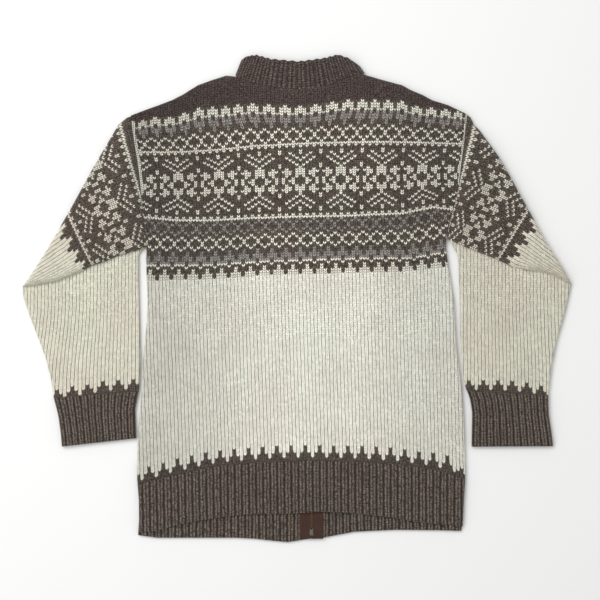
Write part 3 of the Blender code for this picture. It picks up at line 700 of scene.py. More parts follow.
def outline_of(*parts):
    """A closed outline from lines laid end to end."""
    apart = 0.05
    points = [p for part in parts for p in part]
    clean = [points[0]]
    for point in points[1:]:
        if math.dist(point, clean[-1]) > apart:
            clean.append(point)
    if math.dist(clean[0], clean[-1]) < apart:
        clean.pop()
    return Line(clean, closed=True)


def side_points(column, low, high):
    """The body's side outline between two heights, upwards."""
    inner = [(row[column], row[0]) for row in SIDE_OUTLINE if low < row[0] < high]
    ends = [(float(read(SIDE_OUTLINE, y, column)), y) for y in (low, high)]
    return [ends[0]] + inner + [ends[1]]


def row_height(x, row, last_line, row_lines=ROW_LINES):
    """The height of a row at a place across, from the row lines."""
    lines = []
    for number, points in row_lines:
        lines.append((number, read(from_pixels(points), x)))
    lines.append((SEAM_ROW, read(last_line, x)))
    height = lines[0][1] + (lines[0][0] - row) * COURSE
    for (low, y_low), (high, y_high) in zip(lines, lines[1:]):
        part = (row - low) / (high - low)
        height = np.where(row >= low, y_low + part * (y_high - y_low), height)
    past = lines[-1][1] - (row - SEAM_ROW) * COURSE
    return np.where(row > SEAM_ROW, past, height)


def back_place(wale, row):
    """Where a stitch of the back lies."""
    off = (wale - MIDDLE_WALE) * read(WALE_WIDTHS, row, 1)
    top_rows = 1.0 - smooth(3.0, 12.0, row)
    off = off + np.sign(off) * read(NECK_PULL, np.abs(off)) * top_rows
    x = (read(WALE_WIDTHS, row, 2) + off - MIDDLE_X) * PIXEL
    return x, row_height(x, row, BACK_HEM_SEAM)


def front_place(wale, row):
    """Where a stitch of the fronts lies, on rows as high as the back's."""
    x = FRONT_MIDDLE_X + (wale - MIDDLE_WALE) * WALE
    return x, row_height(x, row, FRONT_HEM_SEAM, ROW_LINES[:-1])


def knit_chart(names, wale, row, star_wale, lines, light):
    """Write the chart's yarns over a plain ground, mirrored about the stars' middle wales."""
    letters = {"x": light, "l": "pale", "g": "grey", ".": "dark"}
    step = np.abs((wale - star_wale + 6) % 12 - 6)
    for number, line in enumerate(lines, start=1):
        here = row == number
        yarns = np.array([letters[c] for c in line], dtype=object)
        names[here] = yarns[step[here]]


def yoke_names(wale, row):
    """Yarn names for the yoke, the plain field and the hem's teeth."""
    names = np.full(wale.shape, "cream", dtype=object)
    knit_chart(names, wale, row, STAR_WALE, YOKE, "light")
    names[row < 1] = "top"
    fours = (wale - STAR_WALE) % 4
    tip, wide, full = HEM_TEETH
    names[(fours == 0) & (row >= tip) | (fours != 2) & (row >= wide) | (row >= full)] = "dark"
    return names


side_lines = {side: Line(side_points(COLUMN[side], SIDE_FOOT, ARMHOLE_FOOT)) for side in COLUMN}
armhole_lines = {side: Line(side_points(COLUMN[side], ARMHOLE_FOOT, ARMHOLE_HEAD)) for side in COLUMN}
shoulder_lines = [
    Line([p for p in BACK_TOP if p[0] < -90.0]),
    Line([p for p in BACK_TOP if p[0] > 95.0]),
]
neck_line = Line([p for p in BACK_TOP if -100.0 < p[0] < 110.0])
hem_seam_line = Line(BACK_HEM_SEAM)
hem_edge_line = Line(BACK_HEM_EDGE)
back_folds = [*side_lines.values(), *shoulder_lines]
back_seams = [*armhole_lines.values(), hem_seam_line, neck_line]


def edge_gap(lines, x, y):
    """The least distance to several lines."""
    return np.minimum.reduce([line.away(x, y) for line in lines])


def rounded(top, fold, seam, reach):
    """A level that rolls down to a fold by its reach, and dips at a seam."""
    return top - np.maximum(round_drop(fold, FOLD_ROUND, reach), round_drop(seam, SEAM_ROUND, SEAM_DIP))


def back_levels(x, y):
    """The back's distance from its folds and seams, and the level of its underside."""
    fold = edge_gap(back_folds, x, y)
    seam = edge_gap(back_seams, x, y)
    swell = np.maximum(back_swell(x, y), 0.0) * smooth(4.0, 40.0, np.minimum(fold, seam))
    return fold, seam, back_floor(x, y) + swell


def back_top(x, y, wale, row):
    """The knitted surface of the back."""
    fold, seam, floor = back_levels(x, y)
    top = floor + WALL
    top = rounded(top, fold, seam, top - SIDE_SEAM_LEVEL - SEAM_GAP - 0.6)
    return top + stitch_lift(wale, row, relief_left(fold, 3.0, seam, STITCHES_AT_SEAM))


def back_under(x, y, wale, row):
    """The underside of the back, which meets the fronts along its folds."""
    fold, _, floor = back_levels(x, y)
    return np.where(fold > 3.0, floor, SIDE_SEAM_LEVEL + SEAM_GAP)


def back_names(wale, row, points):
    """Yarn names of the back, with the light stitches at its armholes."""
    names = yoke_names(wale, row)
    near = edge_gap(armhole_lines.values(), points[:, 0], points[:, 1])
    names[(near < 3.6) & (row >= 1) & (row <= 35)] = "light"
    return names


def row_line(row):
    """Points along a row of the back, from left to right, between the body's side outlines."""
    points = [(float(x), float(row_height(x, row, BACK_HEM_SEAM))) for x in np.linspace(-262.0, 264.0, 60)]
    left = max(p[0] for p in points if p[0] < read(SIDE_OUTLINE, p[1], 1))
    right = min(p[0] for p in points if p[0] > read(SIDE_OUTLINE, p[1], 2))
    return [p for p in points if left < p[0] < right]


def painted_side_shade(item, middle, left, right):
    """Painted light and shade: the back's yarn is lifted a little all over and darkened towards the sides,
    where less light falls.
    """
    mesh = item.data
    corner = np.empty(len(mesh.loops), dtype=np.int32)
    mesh.loops.foreach_get("vertex_index", corner)
    place = np.empty(3 * len(mesh.vertices), dtype=np.float32)
    mesh.vertices.foreach_get("co", place)
    x = place.reshape(-1, 3)[corner, 0] / MM
    colour = np.empty(4 * len(corner), dtype=np.float32)
    layer = mesh.color_attributes["yarn"].data
    layer.foreach_get("color", colour)
    colour = colour.reshape(-1, 4)
    share = 1.0 - left * smooth(20.0, 230.0, -x) - right * smooth(60.0, 240.0, x)
    colour[:, :3] *= (middle * share)[:, None]
    layer.foreach_set("color", colour.ravel())


def make_back():
    """The back panel in two pieces that meet along a plain row: yoke and body."""
    left = SIDE_ENDS["left"]
    right = SIDE_ENDS["right"]
    low = row_line(SPLIT_ROW + 2)
    high = row_line(SPLIT_ROW - 2)
    yoke = outline_of(
        BACK_TOP,
        side_points(2, low[-1][1], right["shoulder"])[::-1],
        low[::-1],
        side_points(1, low[0][1], left["shoulder"]),
    )
    body = outline_of(
        high,
        side_points(2, right["seam"], high[-1][1])[::-1],
        BACK_HEM_SEAM[1:-1][::-1],
        side_points(1, left["seam"], high[0][1]),
    )
    jobs = (
        ("back_yoke", yoke, (TOP_ROW, SPLIT_ROW), 11),
        ("back_body", body, (SPLIT_ROW, BODY_FOOT_ROW), 12),
    )
    pieces = []
    for name, outline, rows, seed in jobs:
        piece = knit_shell(
            name, outline, back_place, back_top, back_under, BACK_WALES, rows, back_names, seed)
        # painted light and shade: a little brighter overall, darker towards both sides
        painted_side_shade(piece, 1.06, 0.26, 0.14)
        pieces.append(piece)
    return pieces


def hem_levels(x, y):
    """The back hem's distance from the sides and from its edge, and the level of its underside."""
    fold = edge_gap(side_lines.values(), x, y)
    floor = back_floor(x, y) + 0.4 * back_swell(x, y) * smooth(4.0, 40.0, fold)
    return fold, hem_edge_line.away(x, y), np.maximum(floor, BACK_FLOOR)


def hem_top(x, y, wale, row):
    """The ribbed surface of the back's hem."""
    fold, edge, floor = hem_levels(x, y)
    seam = hem_seam_line.away(x, y)
    top = floor + WALL + 0.3
    top = rounded(top, fold, seam, top - SIDE_SEAM_LEVEL - SEAM_GAP - 0.8) - round_drop(edge, 2.6, 1.9)
    fade = relief_left(fold, 3.0, seam, RIBS_AT_SEAM) * smooth(0.0, 1.8, edge)
    return top + rib_lift(wale, row, fade)


def hem_under(x, y, wale, row):
    """The underside of the back's hem."""
    fold, edge, floor = hem_levels(x, y)
    return np.where(fold > 3.0, floor, SIDE_SEAM_LEVEL + SEAM_GAP) + round_drop(edge, 1.6, 1.0)


def dark_names(wale, row, points):
    """Plain dark yarn."""
    return np.full(wale.shape, "dark", dtype=object)


def make_back_hem():
    """The back's ribbed hem."""
    left = SIDE_ENDS["left"]
    right = SIDE_ENDS["right"]
    outline = outline_of(
        [(x, y - HEM_GAP) for x, y in BACK_HEM_SEAM[1:-1]],
        side_points(2, right["edge"], right["seam"] - HEM_GAP)[::-1],
        BACK_HEM_EDGE[::-1],
        side_points(1, left["edge"], left["seam"] - HEM_GAP),
    )
    return knit_shell(
        "back_hem", outline, back_place, hem_top, hem_under, BACK_WALES, HEM_ROWS, dark_names, 21)


SLEEVES = {
    "left": {
        # x, y of the crease from shoulder to elbow
        "crease": [(-276.5, 290.8), (-290.0, 279.5), (-296.0, 268.6), (-332.1, 206.6), (-367.7, 141.8),
                   (-405.0, 77.0), (-431.0, 36.5), (-444.4, 17.0)],
        # x, y of the edge where the upper arm lies over the forearm, underarm to elbow, in pixels
        "ridge": [(146.2, 246.9), (137, 250.6), (115, 257), (105.7, 261.6), (92.3, 265.4), (81, 272),
                  (58, 281), (34, 285.5), (22.9, 287)],
        "armhole_ends": (293.0, 82.0),
        "outer": [(-444.4, 17.0), (-443.9, 7.3), (-442.3, -4.1), (-430.9, -36.5), (-418.0, -68.9),
                  (-406.6, -101.2), (-398.5, -133.7), (-394.6, -162.0)],
        "inner": [(-245.2, 79.0), (-256.6, 71.0), (-256.4, 30.0), (-255.6, -4.0), (-254.6, -50.0),
                  (-253.4, -101.0), (-254.6, -136.0), (-256.6, -151.5)],
        # row, star wale's pixel x and y, and the step from one wale to the next
        "rows": [
            (12.0, 150.0, 190.6, 0.79, 3.41),
            (16.0, 140.8, 193.0, 0.92, 3.38),
            (19.5, 133.0, 195.8, 1.21, 3.34),
            (32.0, 105.6, 207.0, 1.28, 3.26),
            (48.0, 75.0, 225.3, 1.45, 3.24),
            (54.5, 62.3, 238.0, 1.81, 3.20),
            (85.0, 4.0, 279.0, 2.10, 2.80),
        ],
        # x and y of the tips of the cuff's dark teeth, in pixels
        "tips": [(50, 391.5), (56.5, 390), (73, 386), (87, 384.6), (101.6, 381), (117.7, 380), (133.8, 379)],
        "tooth_wale": 1,
        "cuff_wale": 6.2,
        # share of the way down, and x of the outer and inner edge
        "cuff": [(0.0, -394.6, -256.6), (0.16, -391.2, -259.4), (0.4, -386.6, -262.4),
                 (0.75, -383.0, -261.4), (1.0, -381.4, -260.4)],
        # heights at the outer and inner edge
        "cuff_head": (-162.0, -151.5),
        "cuff_foot": (-241.6, -228.0),
    },
    "right": {
        "crease": [(281.4, 291.4), (286.7, 281.0), (295.5, 271.4), (330.5, 222.8), (366.1, 158.0),
                   (401.8, 93.2), (432.5, 44.6), (444.4, 21.0)],
        "ridge": [(448.3, 239), (458, 244), (468.7, 248.7), (488, 256), (502, 262), (513, 267),
                  (526, 270), (540.5, 271.6), (555, 276), (571.2, 284.5)],
        "armhole_ends": (295.0, 94.0),
        "outer": [(444.4, 21.0), (442.5, 12.2), (439.0, -4.1), (430.9, -36.5), (421.2, -68.9),
                  (414.7, -101.2), (409.9, -133.7), (408.0, -158.0)],
        "inner": [(245.0, 94.0), (260.8, 69.0), (262.6, 30.0), (264.0, -4.0), (264.4, -60.0),
                  (267.0, -101.0), (270.6, -136.0), (275.0, -151.0)],
        "rows": [
            (12.0, 450.5, 178.5, -0.80, 3.50),
            (16.0, 459.5, 181.0, -0.81, 3.51),
            (19.5, 466.7, 183.0, -1.26, 3.48),
            (25.5, 479.5, 187.0, -1.50, 3.46),
            (32.0, 492.1, 192.1, -1.69, 3.40),
            (48.0, 526.3, 209.0, -1.88, 3.12),
            (54.5, 541.7, 219.3, -1.96, 3.04),
            (85.0, 598.0, 264.0, -2.40, 2.70),
        ],
        "tips": [(462, 380), (473.5, 380), (488, 380), (501, 380), (515.6, 381), (532, 383), (545.7, 387),
                 (552, 389)],
        "tooth_wale": 2,
        "cuff_wale": 5.84,
        "cuff": [(0.0, 407.8, 275.6), (0.16, 407.4, 281.0), (0.4, 408.4, 284.0),
                 (0.75, 413.0, 283.2), (1.0, 415.4, 283.0)],
        "cuff_head": (-158.0, -151.0),
        "cuff_foot": (-241.0, -241.8),
    },
}
SLEEVE_STAR = 21
TEETH_ROW = 51


def along_points(points, share):
    """The point at a share of a line's length."""
    steps = [math.dist(a, b) for a, b in zip(points, points[1:])]
    goal = share * sum(steps)
    for start, end, step in zip(points, points[1:], steps):
        if goal <= step:
            part = goal / step
            return (start[0] + part * (end[0] - start[0]), start[1] + part * (end[1] - start[1]))
        goal -= step
    return points[-1]


def armhole_points(side):
    """The armhole seam on the sleeve's side, from shoulder to underarm."""
    gap = 0.5 * OUT[side]
    heights = np.linspace(*SLEEVES[side]["armhole_ends"], 16)
    return [(float(read(SIDE_OUTLINE, y, COLUMN[side])) + gap, float(y)) for y in heights]


def fold_share(side, x, y):
    """How far a point lies from the shoulder, 0, to the elbow fold, 1."""
    crease = SLEEVES[side]["crease"]
    hole = armhole_points(side)
    share = np.zeros(np.shape(x))
    shares = np.linspace(0.0, 1.0, 33)
    before = None
    for value in shares:
        a = along_points(crease, value)
        b = along_points(hole, value)
        off = (b[0] - a[0]) * (y - a[1]) - (b[1] - a[1]) * (x - a[0])
        off = off / math.dist(a, b) * -OUT[side]
        if before is not None:
            inside = (before <= 0.0) & (off > 0.0) | (before >= 0.0) & (off < 0.0)
            part = np.clip(before / np.where(before == off, 1.0, before - off), 0.0, 1.0)
            share = np.where(inside, value - shares[1] + part * shares[1], share)
        before = off
    return np.where((share == 0.0) & (y < 120.0), 1.0, share)


def half_round(distance, radius):
    """A half-round edge's height, 0 at its rim to 1 past its radius."""
    part = np.clip(1.0 - distance / radius, 0.0, 1.0)
    return np.sqrt(np.maximum(1.0 - part * part, 0.0))


# Where the plain cream meets the ridge, measured out from the middle, and how the fold rolls there
ROLL_START = {"left": 322.0, "right": 346.0}
ROLL_BLEND = 30.0
ROLL_SIZE = 15.0
ROLL_BACK = 0.15
ROLL_LIMIT = 30.0
RIDGE_TILT = 0.96


class UpperArm:
    """The folded upper arm: levels and the places of its stitches."""

    def __init__(self, side):
        self.side = side
        table = SLEEVES[side]
        self.rows = table["rows"]
        self.ridge_points = from_pixels(table["ridge"])
        hole = armhole_points(side)
        hole[-1] = self.ridge_points[0]
        self.crease = Line(table["crease"])
        self.hole = Line(hole)
        self.ridge = Line(self.ridge_points)
        self.outline = outline_of(table["crease"][::-1], hole, self.ridge_points)

    def place(self, wale, row):
        """Where a stitch lies; past the table's ends, rows go on as between its nearest two."""
        off = wale - SLEEVE_STAR - 0.5
        first, second = self.rows[:2]
        before, last = self.rows[-2:]
        short = np.minimum(row - first[0], 0.0) / (second[0] - first[0])
        past = np.maximum(row - last[0], 0.0) / (last[0] - before[0])
        x, y = [
            read(self.rows, row, k) + short * (second[k] - first[k]) + past * (last[k] - before[k])
            + off * read(self.rows, row, k + 2)
            for k in (1, 2)
        ]
        return self.rolled((x - MIDDLE_X) * PIXEL, (MIDDLE_Y - y) * PIXEL)

    def rolled(self, x, y):
        """In the plain cream the wales turn to run along the ridge, where the fold rolls under."""
        high = (y - read(sorted(self.ridge_points), x)) * RIDGE_TILT
        part = high / ROLL_SIZE
        spread = np.log1p(np.exp(np.clip(part, -ROLL_LIMIT, ROLL_LIMIT)))
        spread = np.where(part > ROLL_LIMIT, part, spread)
        rolled = ROLL_SIZE * (spread - ROLL_BACK * np.exp(-np.maximum(high, 0.0) / (3.0 * ROLL_SIZE)))
        share = smooth(0.0, ROLL_BLEND, np.abs(x) - ROLL_START[self.side])
        return x, y + share * (rolled - high) / RIDGE_TILT

    def crown(self, x, y):
        """The height of the fold at a place."""
        rise = (FOLD_HEIGHT - ARMHOLE_HEIGHT) * smooth(-0.02, 0.24, fold_share(self.side, x, y))
        return ARMHOLE_HEIGHT + rise * smooth(0.0, ARMHOLE_RAMP, self.hole.away(x, y))

    def top(self, x, y, wale, row):
        """The knitted surface."""
        crown = self.crown(x, y)
        crease = self.crease.away(x, y)
        hole = self.hole.away(x, y)
        ridge = self.ridge.away(x, y)
        level = crown / 2.0 * (1.0 + half_round(crease, CREASE_ROUND))
        level = level - round_drop(ridge, 8.0, np.maximum(crown - TUBE_HEIGHT + 0.6, 0.0))
        level = level - round_drop(hole, 2.6, 1.3)
        edge = np.minimum(crease, ridge + 1.0)
        return level + stitch_lift(wale, row, relief_left(edge, 2.5, hole, STITCHES_AT_SEAM))

    def under(self, x, y, wale, row):
        """The underside, on the surface except at the crease."""
        round_edge = half_round(self.crease.away(x, y), CREASE_ROUND)
        return self.crown(x, y) / 2.0 * (1.0 - round_edge) + 0.25 * (self.hole.away(x, y) < 1.0)

    def names(self, wale, row, points):
        """Yarn names down the sleeve, from the armhole to the plain cream."""
        # painted shade: the sleeve's cream and light stitches take darker copies of the body's yarns
        names = np.full(wale.shape, "sleeve", dtype=object)
        knit_chart(names, wale, row, SLEEVE_STAR, YOKE[:48], "worn")
        names[(row < 16) | (row == 49) | (row == 50)] = "dark"
        fours = (wale - SLEEVE_STAR) % 4
        tooth = row - TEETH_ROW
        names[(fours != 2) & ((tooth == 0) | (tooth == 1))] = "dark"
        names[(fours == 0) & ((tooth == 2) | (tooth == 3))] = "dark"
        return names


class Tube:
    """A flattened tube between an outer and an inner edge line."""

    def edge(self, x, y):
        """How far points lie from the nearer of the tube's two edges."""
        return np.minimum(self.outer.away(x, y), self.inner.away(x, y))

    def wall(self, x, y, way):
        """The level of the upper wall's outer face, way 1, or of the lower wall's, way -1."""
        return TUBE_HEIGHT / 2.0 * (1.0 + way * half_round(self.edge(x, y), TUBE_ROUND))

    def slot(self, way):
        """The level of a wall's inner face; the two walls meet at the tube's edges."""
        closed = 0.04

        def level(x, y, wale, row):
            gap = closed + (SLOT_HEIGHT / 2.0 - closed) * smooth(2.6, 5.0, self.edge(x, y))
            return TUBE_HEIGHT / 2.0 + gap * way
        return level


class Forearm(Tube):
    """The flattened forearm: levels and the places of its stitches."""

    def __init__(self, side):
        self.table = SLEEVES[side]
        self.out = OUT[side]
        ridge = from_pixels(self.table["ridge"])
        lifted = [(x, y + 1.5) for x, y in ridge]
        lifted[0] = (lifted[0][0] + 0.3 * self.out, lifted[0][1])
        lifted[-1] = ridge[-1]
        head = self.table["cuff_head"]
        outer = self.table["outer"]
        inner = [p for p in self.table["inner"] if p[1] < lifted[0][1] - 6.0]
        seam = [(outer[-1][0], head[0]), (inner[-1][0], head[1])]
        self.outer = Line(outer)
        self.inner = Line([lifted[0]] + inner)
        self.seam = Line(seam)
        self.ridge = Line(ridge)
        self.outline = outline_of(outer, seam, inner[::-1], lifted)
        self.tips = sorted(from_pixels(self.table["tips"]))
        self.mean = sum(p[1] for p in self.tips) / len(self.tips)

    def place(self, wale, row):
        """Where a stitch lies; rows are counted from the tips of the cuff's teeth."""
        width = WALE + (self.table["cuff_wale"] - WALE) * smooth(-35.0, 0.0, row)
        x = self.table["inner"][3][0] + self.out * width * wale
        tilt = (read(self.tips, x) - self.mean) * smooth(-40.0, 0.0, row)
        return x, self.mean - row * COURSE + tilt

    def top(self, x, y, wale, row):
        """The knitted surface, pressed a little where the upper arm lies on it."""
        seam = self.seam.away(x, y)
        pressed = 1.7 * np.exp(-self.ridge.away(x, y) / 20.0)
        level = self.wall(x, y, 1.0) - round_drop(seam, SEAM_ROUND, SEAM_DIP) - pressed
        fade = relief_left(self.edge(x, y), 2.0, seam, STITCHES_AT_SEAM)
        return level + stitch_lift(wale, row, fade)

    def under(self, x, y, wale, row):
        """The lower wall's outer face, on the surface."""
        sunk = (1.0 - stitch_relief(wale, row)) * UNDER_RELIEF
        return self.wall(x, y, -1.0) + sunk * smooth(0.0, 3.0, self.edge(x, y))

    def names(self, wale, row, points):
        """Cream darkened as painted shade, with dark teeth at the cuff."""
        names = np.full(wale.shape, "sleeve", dtype=object)
        fours = (wale - self.table["tooth_wale"]) % 4
        names[(fours == 0) & (row >= 0) | (fours != 2) & (row >= 2) | (row >= 4)] = "dark"
        return names


class Cuff(Tube):
    """The ribbed cuff."""

    wales = 24.0
    rows = 20.5

    def __init__(self, side):
        self.table = SLEEVES[side]
        self.head = [y - HEM_GAP for y in self.table["cuff_head"]]
        self.foot = self.table["cuff_foot"]
        ends = [self.edges_at(share) for share in np.linspace(0.0, 1.0, 9)]
        outer = [end[0] for end in ends]
        inner = [end[1] for end in ends]
        self.outer = Line(outer)
        self.inner = Line(inner)
        self.top_line = Line([outer[0], inner[0]])
        self.foot_line = Line([outer[-1], inner[-1]])
        self.outline = outline_of(outer, inner[::-1])

    def edges_at(self, share):
        """The outer and the inner edge's point at a share of the way from seam to foot."""
        return [
            (read(self.table["cuff"], share, k + 1), self.head[k] + share * (self.foot[k] - self.head[k]))
            for k in (0, 1)
        ]

    def place(self, wale, row):
        """Where a stitch lies, with rows counted down from the seam."""
        outer, inner = self.edges_at(row / self.rows)
        across = wale / self.wales
        return outer[0] + across * (inner[0] - outer[0]), outer[1] + across * (inner[1] - outer[1])

    def top(self, x, y, wale, row):
        """The ribbed surface."""
        seam = self.top_line.away(x, y)
        foot = self.foot_line.away(x, y)
        level = self.wall(x, y, 1.0) + 0.3
        level = level - round_drop(seam, SEAM_ROUND, SEAM_DIP) - round_drop(foot, 2.4, 1.5)
        fade = relief_left(self.edge(x, y), 2.0, seam, RIBS_AT_SEAM) * smooth(0.0, 1.6, foot)
        return level + rib_lift(wale, row, fade)

    def under(self, x, y, wale, row):
        """The lower wall's outer face, on the surface."""
        foot = self.foot_line.away(x, y)
        near = np.minimum(self.edge(x, y), foot + 1.0)
        sunk = (1.0 - rib_relief(wale, row)) * 1.2 * smooth(0.0, 3.0, near)
        return self.wall(x, y, -1.0) + round_drop(foot, 2.0, 0.8) + sunk

    def names(self, wale, row, points):
        """Plain dark yarn."""
        return dark_names(wale, row, points)


def make_sleeve(side):
    """A sleeve's pieces: folded upper arm, and the two walls each of forearm and cuff."""
    seed = 31 if side == "left" else 41
    upper = UpperArm(side)
    made = [knit_shell(
        "sleeve_" + side + "_upper", upper.outline, upper.place, upper.top, upper.under,
        (-12, 58), (4, 112), upper.names, seed)]
    for tube, name, wales, rows, draw in (
        (Forearm(side), "forearm_" + side, (-4, 38), (-64, 9), seed + 2),
        (Cuff(side), "cuff_ribs_" + side, (-2, 26), (-2, 23), seed + 6),
    ):
        made.append(knit_shell(
            name + "_upper", tube.outline, tube.place, tube.top, tube.slot(1.0), wales, rows,
            tube.names, draw))
        made.append(knit_shell(
            name + "_under", tube.outline, tube.place, tube.slot(-1.0), tube.under, wales, rows,
            tube.names, draw + 1, face_down=True, fine=(4, 1)))
    return made


FRONT_SEAM_HEIGHT = -303.4
FRONT_HEM_HEAD = -284.5
NECK_GAP = 0.9


def between(points, one, two):
    """The points of a line that lie between two places across."""
    return [p for p in points if min(one, two) < p[0] < max(one, two)]


def front_edges(side):
    """A front's outer and inner edge lines and its outline."""
    ends = SIDE_ENDS[side]
    hem_x = SIDE_OUTLINE[2][COLUMN[side]]
    heights = (FRONT_SEAM_HEIGHT, -150.0, 0.0, 150.0, 269.0)
    inner = [(zip_x(y) + FRONT_GAP * OUT[side], y) for y in heights]
    outer = side_points(COLUMN[side], ends["front_seam"], ends["shoulder"])
    foot = [(x, y + SEAM_GAP) for x, y in between(FRONT_HEM_SEAM, hem_x, inner[0][0])]
    if side == "left":
        shoulder = [p for p in BACK_TOP if p[0] < -98.0]
        neck = [(x, y - NECK_GAP) for x, y in FRONT_NECK if x < 0.0] + [(inner[-1][0], 271.0)]
        line = outline_of(shoulder, neck, inner[::-1], foot[::-1], outer)
    else:
        shoulder = [p for p in BACK_TOP if p[0] > 105.0]
        neck = [(inner[-1][0], 271.5)] + [(x, y - NECK_GAP) for x, y in FRONT_NECK if x > 24.0]
        line = outline_of(neck, shoulder, outer[::-1], foot[::-1], inner)
    return Line(outer), Line(inner), line


def make_front(side):
    """One front, its patterned face down."""
    outer, inner, outline = front_edges(side)

    def inside_face(x, y, wale, row):
        """The plain inside, just under the back."""
        return np.full(np.shape(x), WALL - 0.05)

    def outside_face(x, y, wale, row):
        """The patterned face, which rests on the crowns of its stitches."""
        side_gap = outer.away(x, y)
        zip_gap = inner.away(x, y)
        lift = np.maximum(round_drop(side_gap, FOLD_RADIUS, 3.0), round_drop(zip_gap, 1.6, 1.0))
        fade = smooth(0.0, 2.0, np.minimum(side_gap, zip_gap))
        return np.minimum(lift + (1.0 - stitch_relief(wale, row)) * UNDER_RELIEF * fade, 3.2)

    return knit_shell(
        "front_knit_" + side, outline, front_place, inside_face, outside_face, FRONT_WALES[side],
        (TOP_ROW, BODY_FOOT_ROW), back_names, 51 if side == "left" else 53, face_down=True, fine=(4, 1))


def make_front_hem(side):
    """One front's ribbed hem, its inside up."""
    outer = side_points(COLUMN[side], SIDE_ENDS[side]["front_edge"], FRONT_HEM_HEAD)
    inner = [(zip_x(y) + FRONT_GAP * OUT[side], y) for y in (-391.6, -304.0)]
    seam = [(x, y - SEAM_GAP) for x, y in between(FRONT_HEM_SEAM, outer[0][0], inner[0][0])]
    edge = between(FRONT_HEM_EDGE, outer[0][0], inner[0][0])
    if side == "left":
        outline = outline_of(seam, inner[::-1], edge[::-1], outer)
    else:
        outline = outline_of(seam, outer[::-1], edge[::-1], inner)
    outer_line = Line(outer)
    edge_line = Line(FRONT_HEM_EDGE)

    def top(x, y, wale, row):
        """The ribbed inside, raised most where it shows below the back."""
        shows = smooth(-3.0, 6.0, read(BACK_HEM_EDGE, x) - y)
        by_zip = smooth(TAPE_WIDTH - 1.0, TAPE_WIDTH + 4.0, np.abs(x - zip_x(y)))
        foot = edge_line.away(x, y)
        side_gap = outer_line.away(x, y)
        fade = smooth(0.0, 1.8, foot) * smooth(0.0, 2.0, side_gap)
        lift = (rib_relief(wale, row) - 0.55) * 1.3 * fade * by_zip * (0.25 + 0.75 * shows)
        flat = WALL - 0.4 - 0.35 * (1.0 - by_zip) + 0.5 * shows * by_zip
        return flat + lift - round_drop(foot, 2.2, 0.9) - round_drop(side_gap, 3.0, 0.6)

    def under(x, y, wale, row):
        """The outer face, flat where it rests."""
        side_lift = round_drop(outer_line.away(x, y), FOLD_RADIUS, 2.6)
        edge_lift = round_drop(edge_line.away(x, y), 2.0, 0.9)
        return np.minimum(np.maximum(side_lift, edge_lift), 2.2)

    return knit_shell(
        "front_hem_" + side, outline, front_place, top, under, FRONT_WALES[side], FRONT_HEM_ROWS,
        dark_names, 61 if side == "left" else 63)


COLLAR_PATH = [
    # place, seam x, seam y, top x, top y, turn
    (0.00, 8.8, 272.6, 8.4, 317.0, 0.0),
    (0.07, -26.0, 280.6, -18.0, 321.0, 0.0),
    (0.13, -56.6, 299.4, -44.0, 333.0, 0.0),
    (0.19, -79.6, 327.0, -70.0, 353.0, 0.0),
    (0.235, -89.8, 349.0, -82.0, 373.0, 0.0),
    (0.265, -94.6, 361.0, -84.8, 386.4, 0.5),
    (0.295, -93.0, 356.6, -78.0, 391.4, 1.0),
    (0.34, -79.4, 350.8, -65.4, 392.6, 1.0),
    (0.41, -50.2, 343.2, -42.0, 386.2, 1.0),
    (0.50, 3.3, 337.8, 3.3, 382.2, 1.0),
    (0.59, 53.5, 345.6, 44.0, 387.6, 1.0),
    (0.66, 80.0, 356.8, 66.4, 393.4, 1.0),
    (0.705, 98.0, 362.0, 82.6, 388.0, 1.0),
    (0.735, 105.2, 362.4, 97.0, 375.0, 0.5),
    (0.765, 99.6, 354.0, 92.0, 366.0, 0.0),
    (0.81, 90.8, 331.0, 80.0, 350.0, 0.0),
    (0.87, 73.8, 301.6, 62.0, 332.0, 0.0),
    (0.93, 48.4, 282.4, 44.0, 321.0, 0.0),
    (1.00, 19.8, 273.0, 19.4, 317.0, 0.0),
]
COLLAR_WALES = 72
COLLAR_ROWS = 11
COLLAR_THICK = 4.6
COLLAR_BACK_MID = 7.5


# Points for a wale across, for a row down, and over the band's rounded top
WALE_POINTS = 4
ROW_POINTS = 2
TOP_POINTS = 5
# How far the ribs stand up, the share of it on the inside, and how far their ends stick out
COLLAR_RELIEF = 1.1
INSIDE_SHARE = 0.45
SCALLOP = 1.9


def collar_steps():
    """Once round the band's section: height, face, row and swing over the top at each point."""
    sides = COLLAR_ROWS * ROW_POINTS
    steps = []
    for step in range(sides + 1):
        steps.append((step / sides, 1.0, step / sides * COLLAR_ROWS, 0.0))
    for step in range(1, TOP_POINTS + 1):
        swing = math.pi * step / (TOP_POINTS + 1)
        steps.append((1.0, math.cos(swing), COLLAR_ROWS + 0.2 * step, swing))
    for step in range(sides):
        share = 1.0 - step / (sides - 1)
        steps.append((share, -1.0, share * COLLAR_ROWS, 0.0))
    return steps


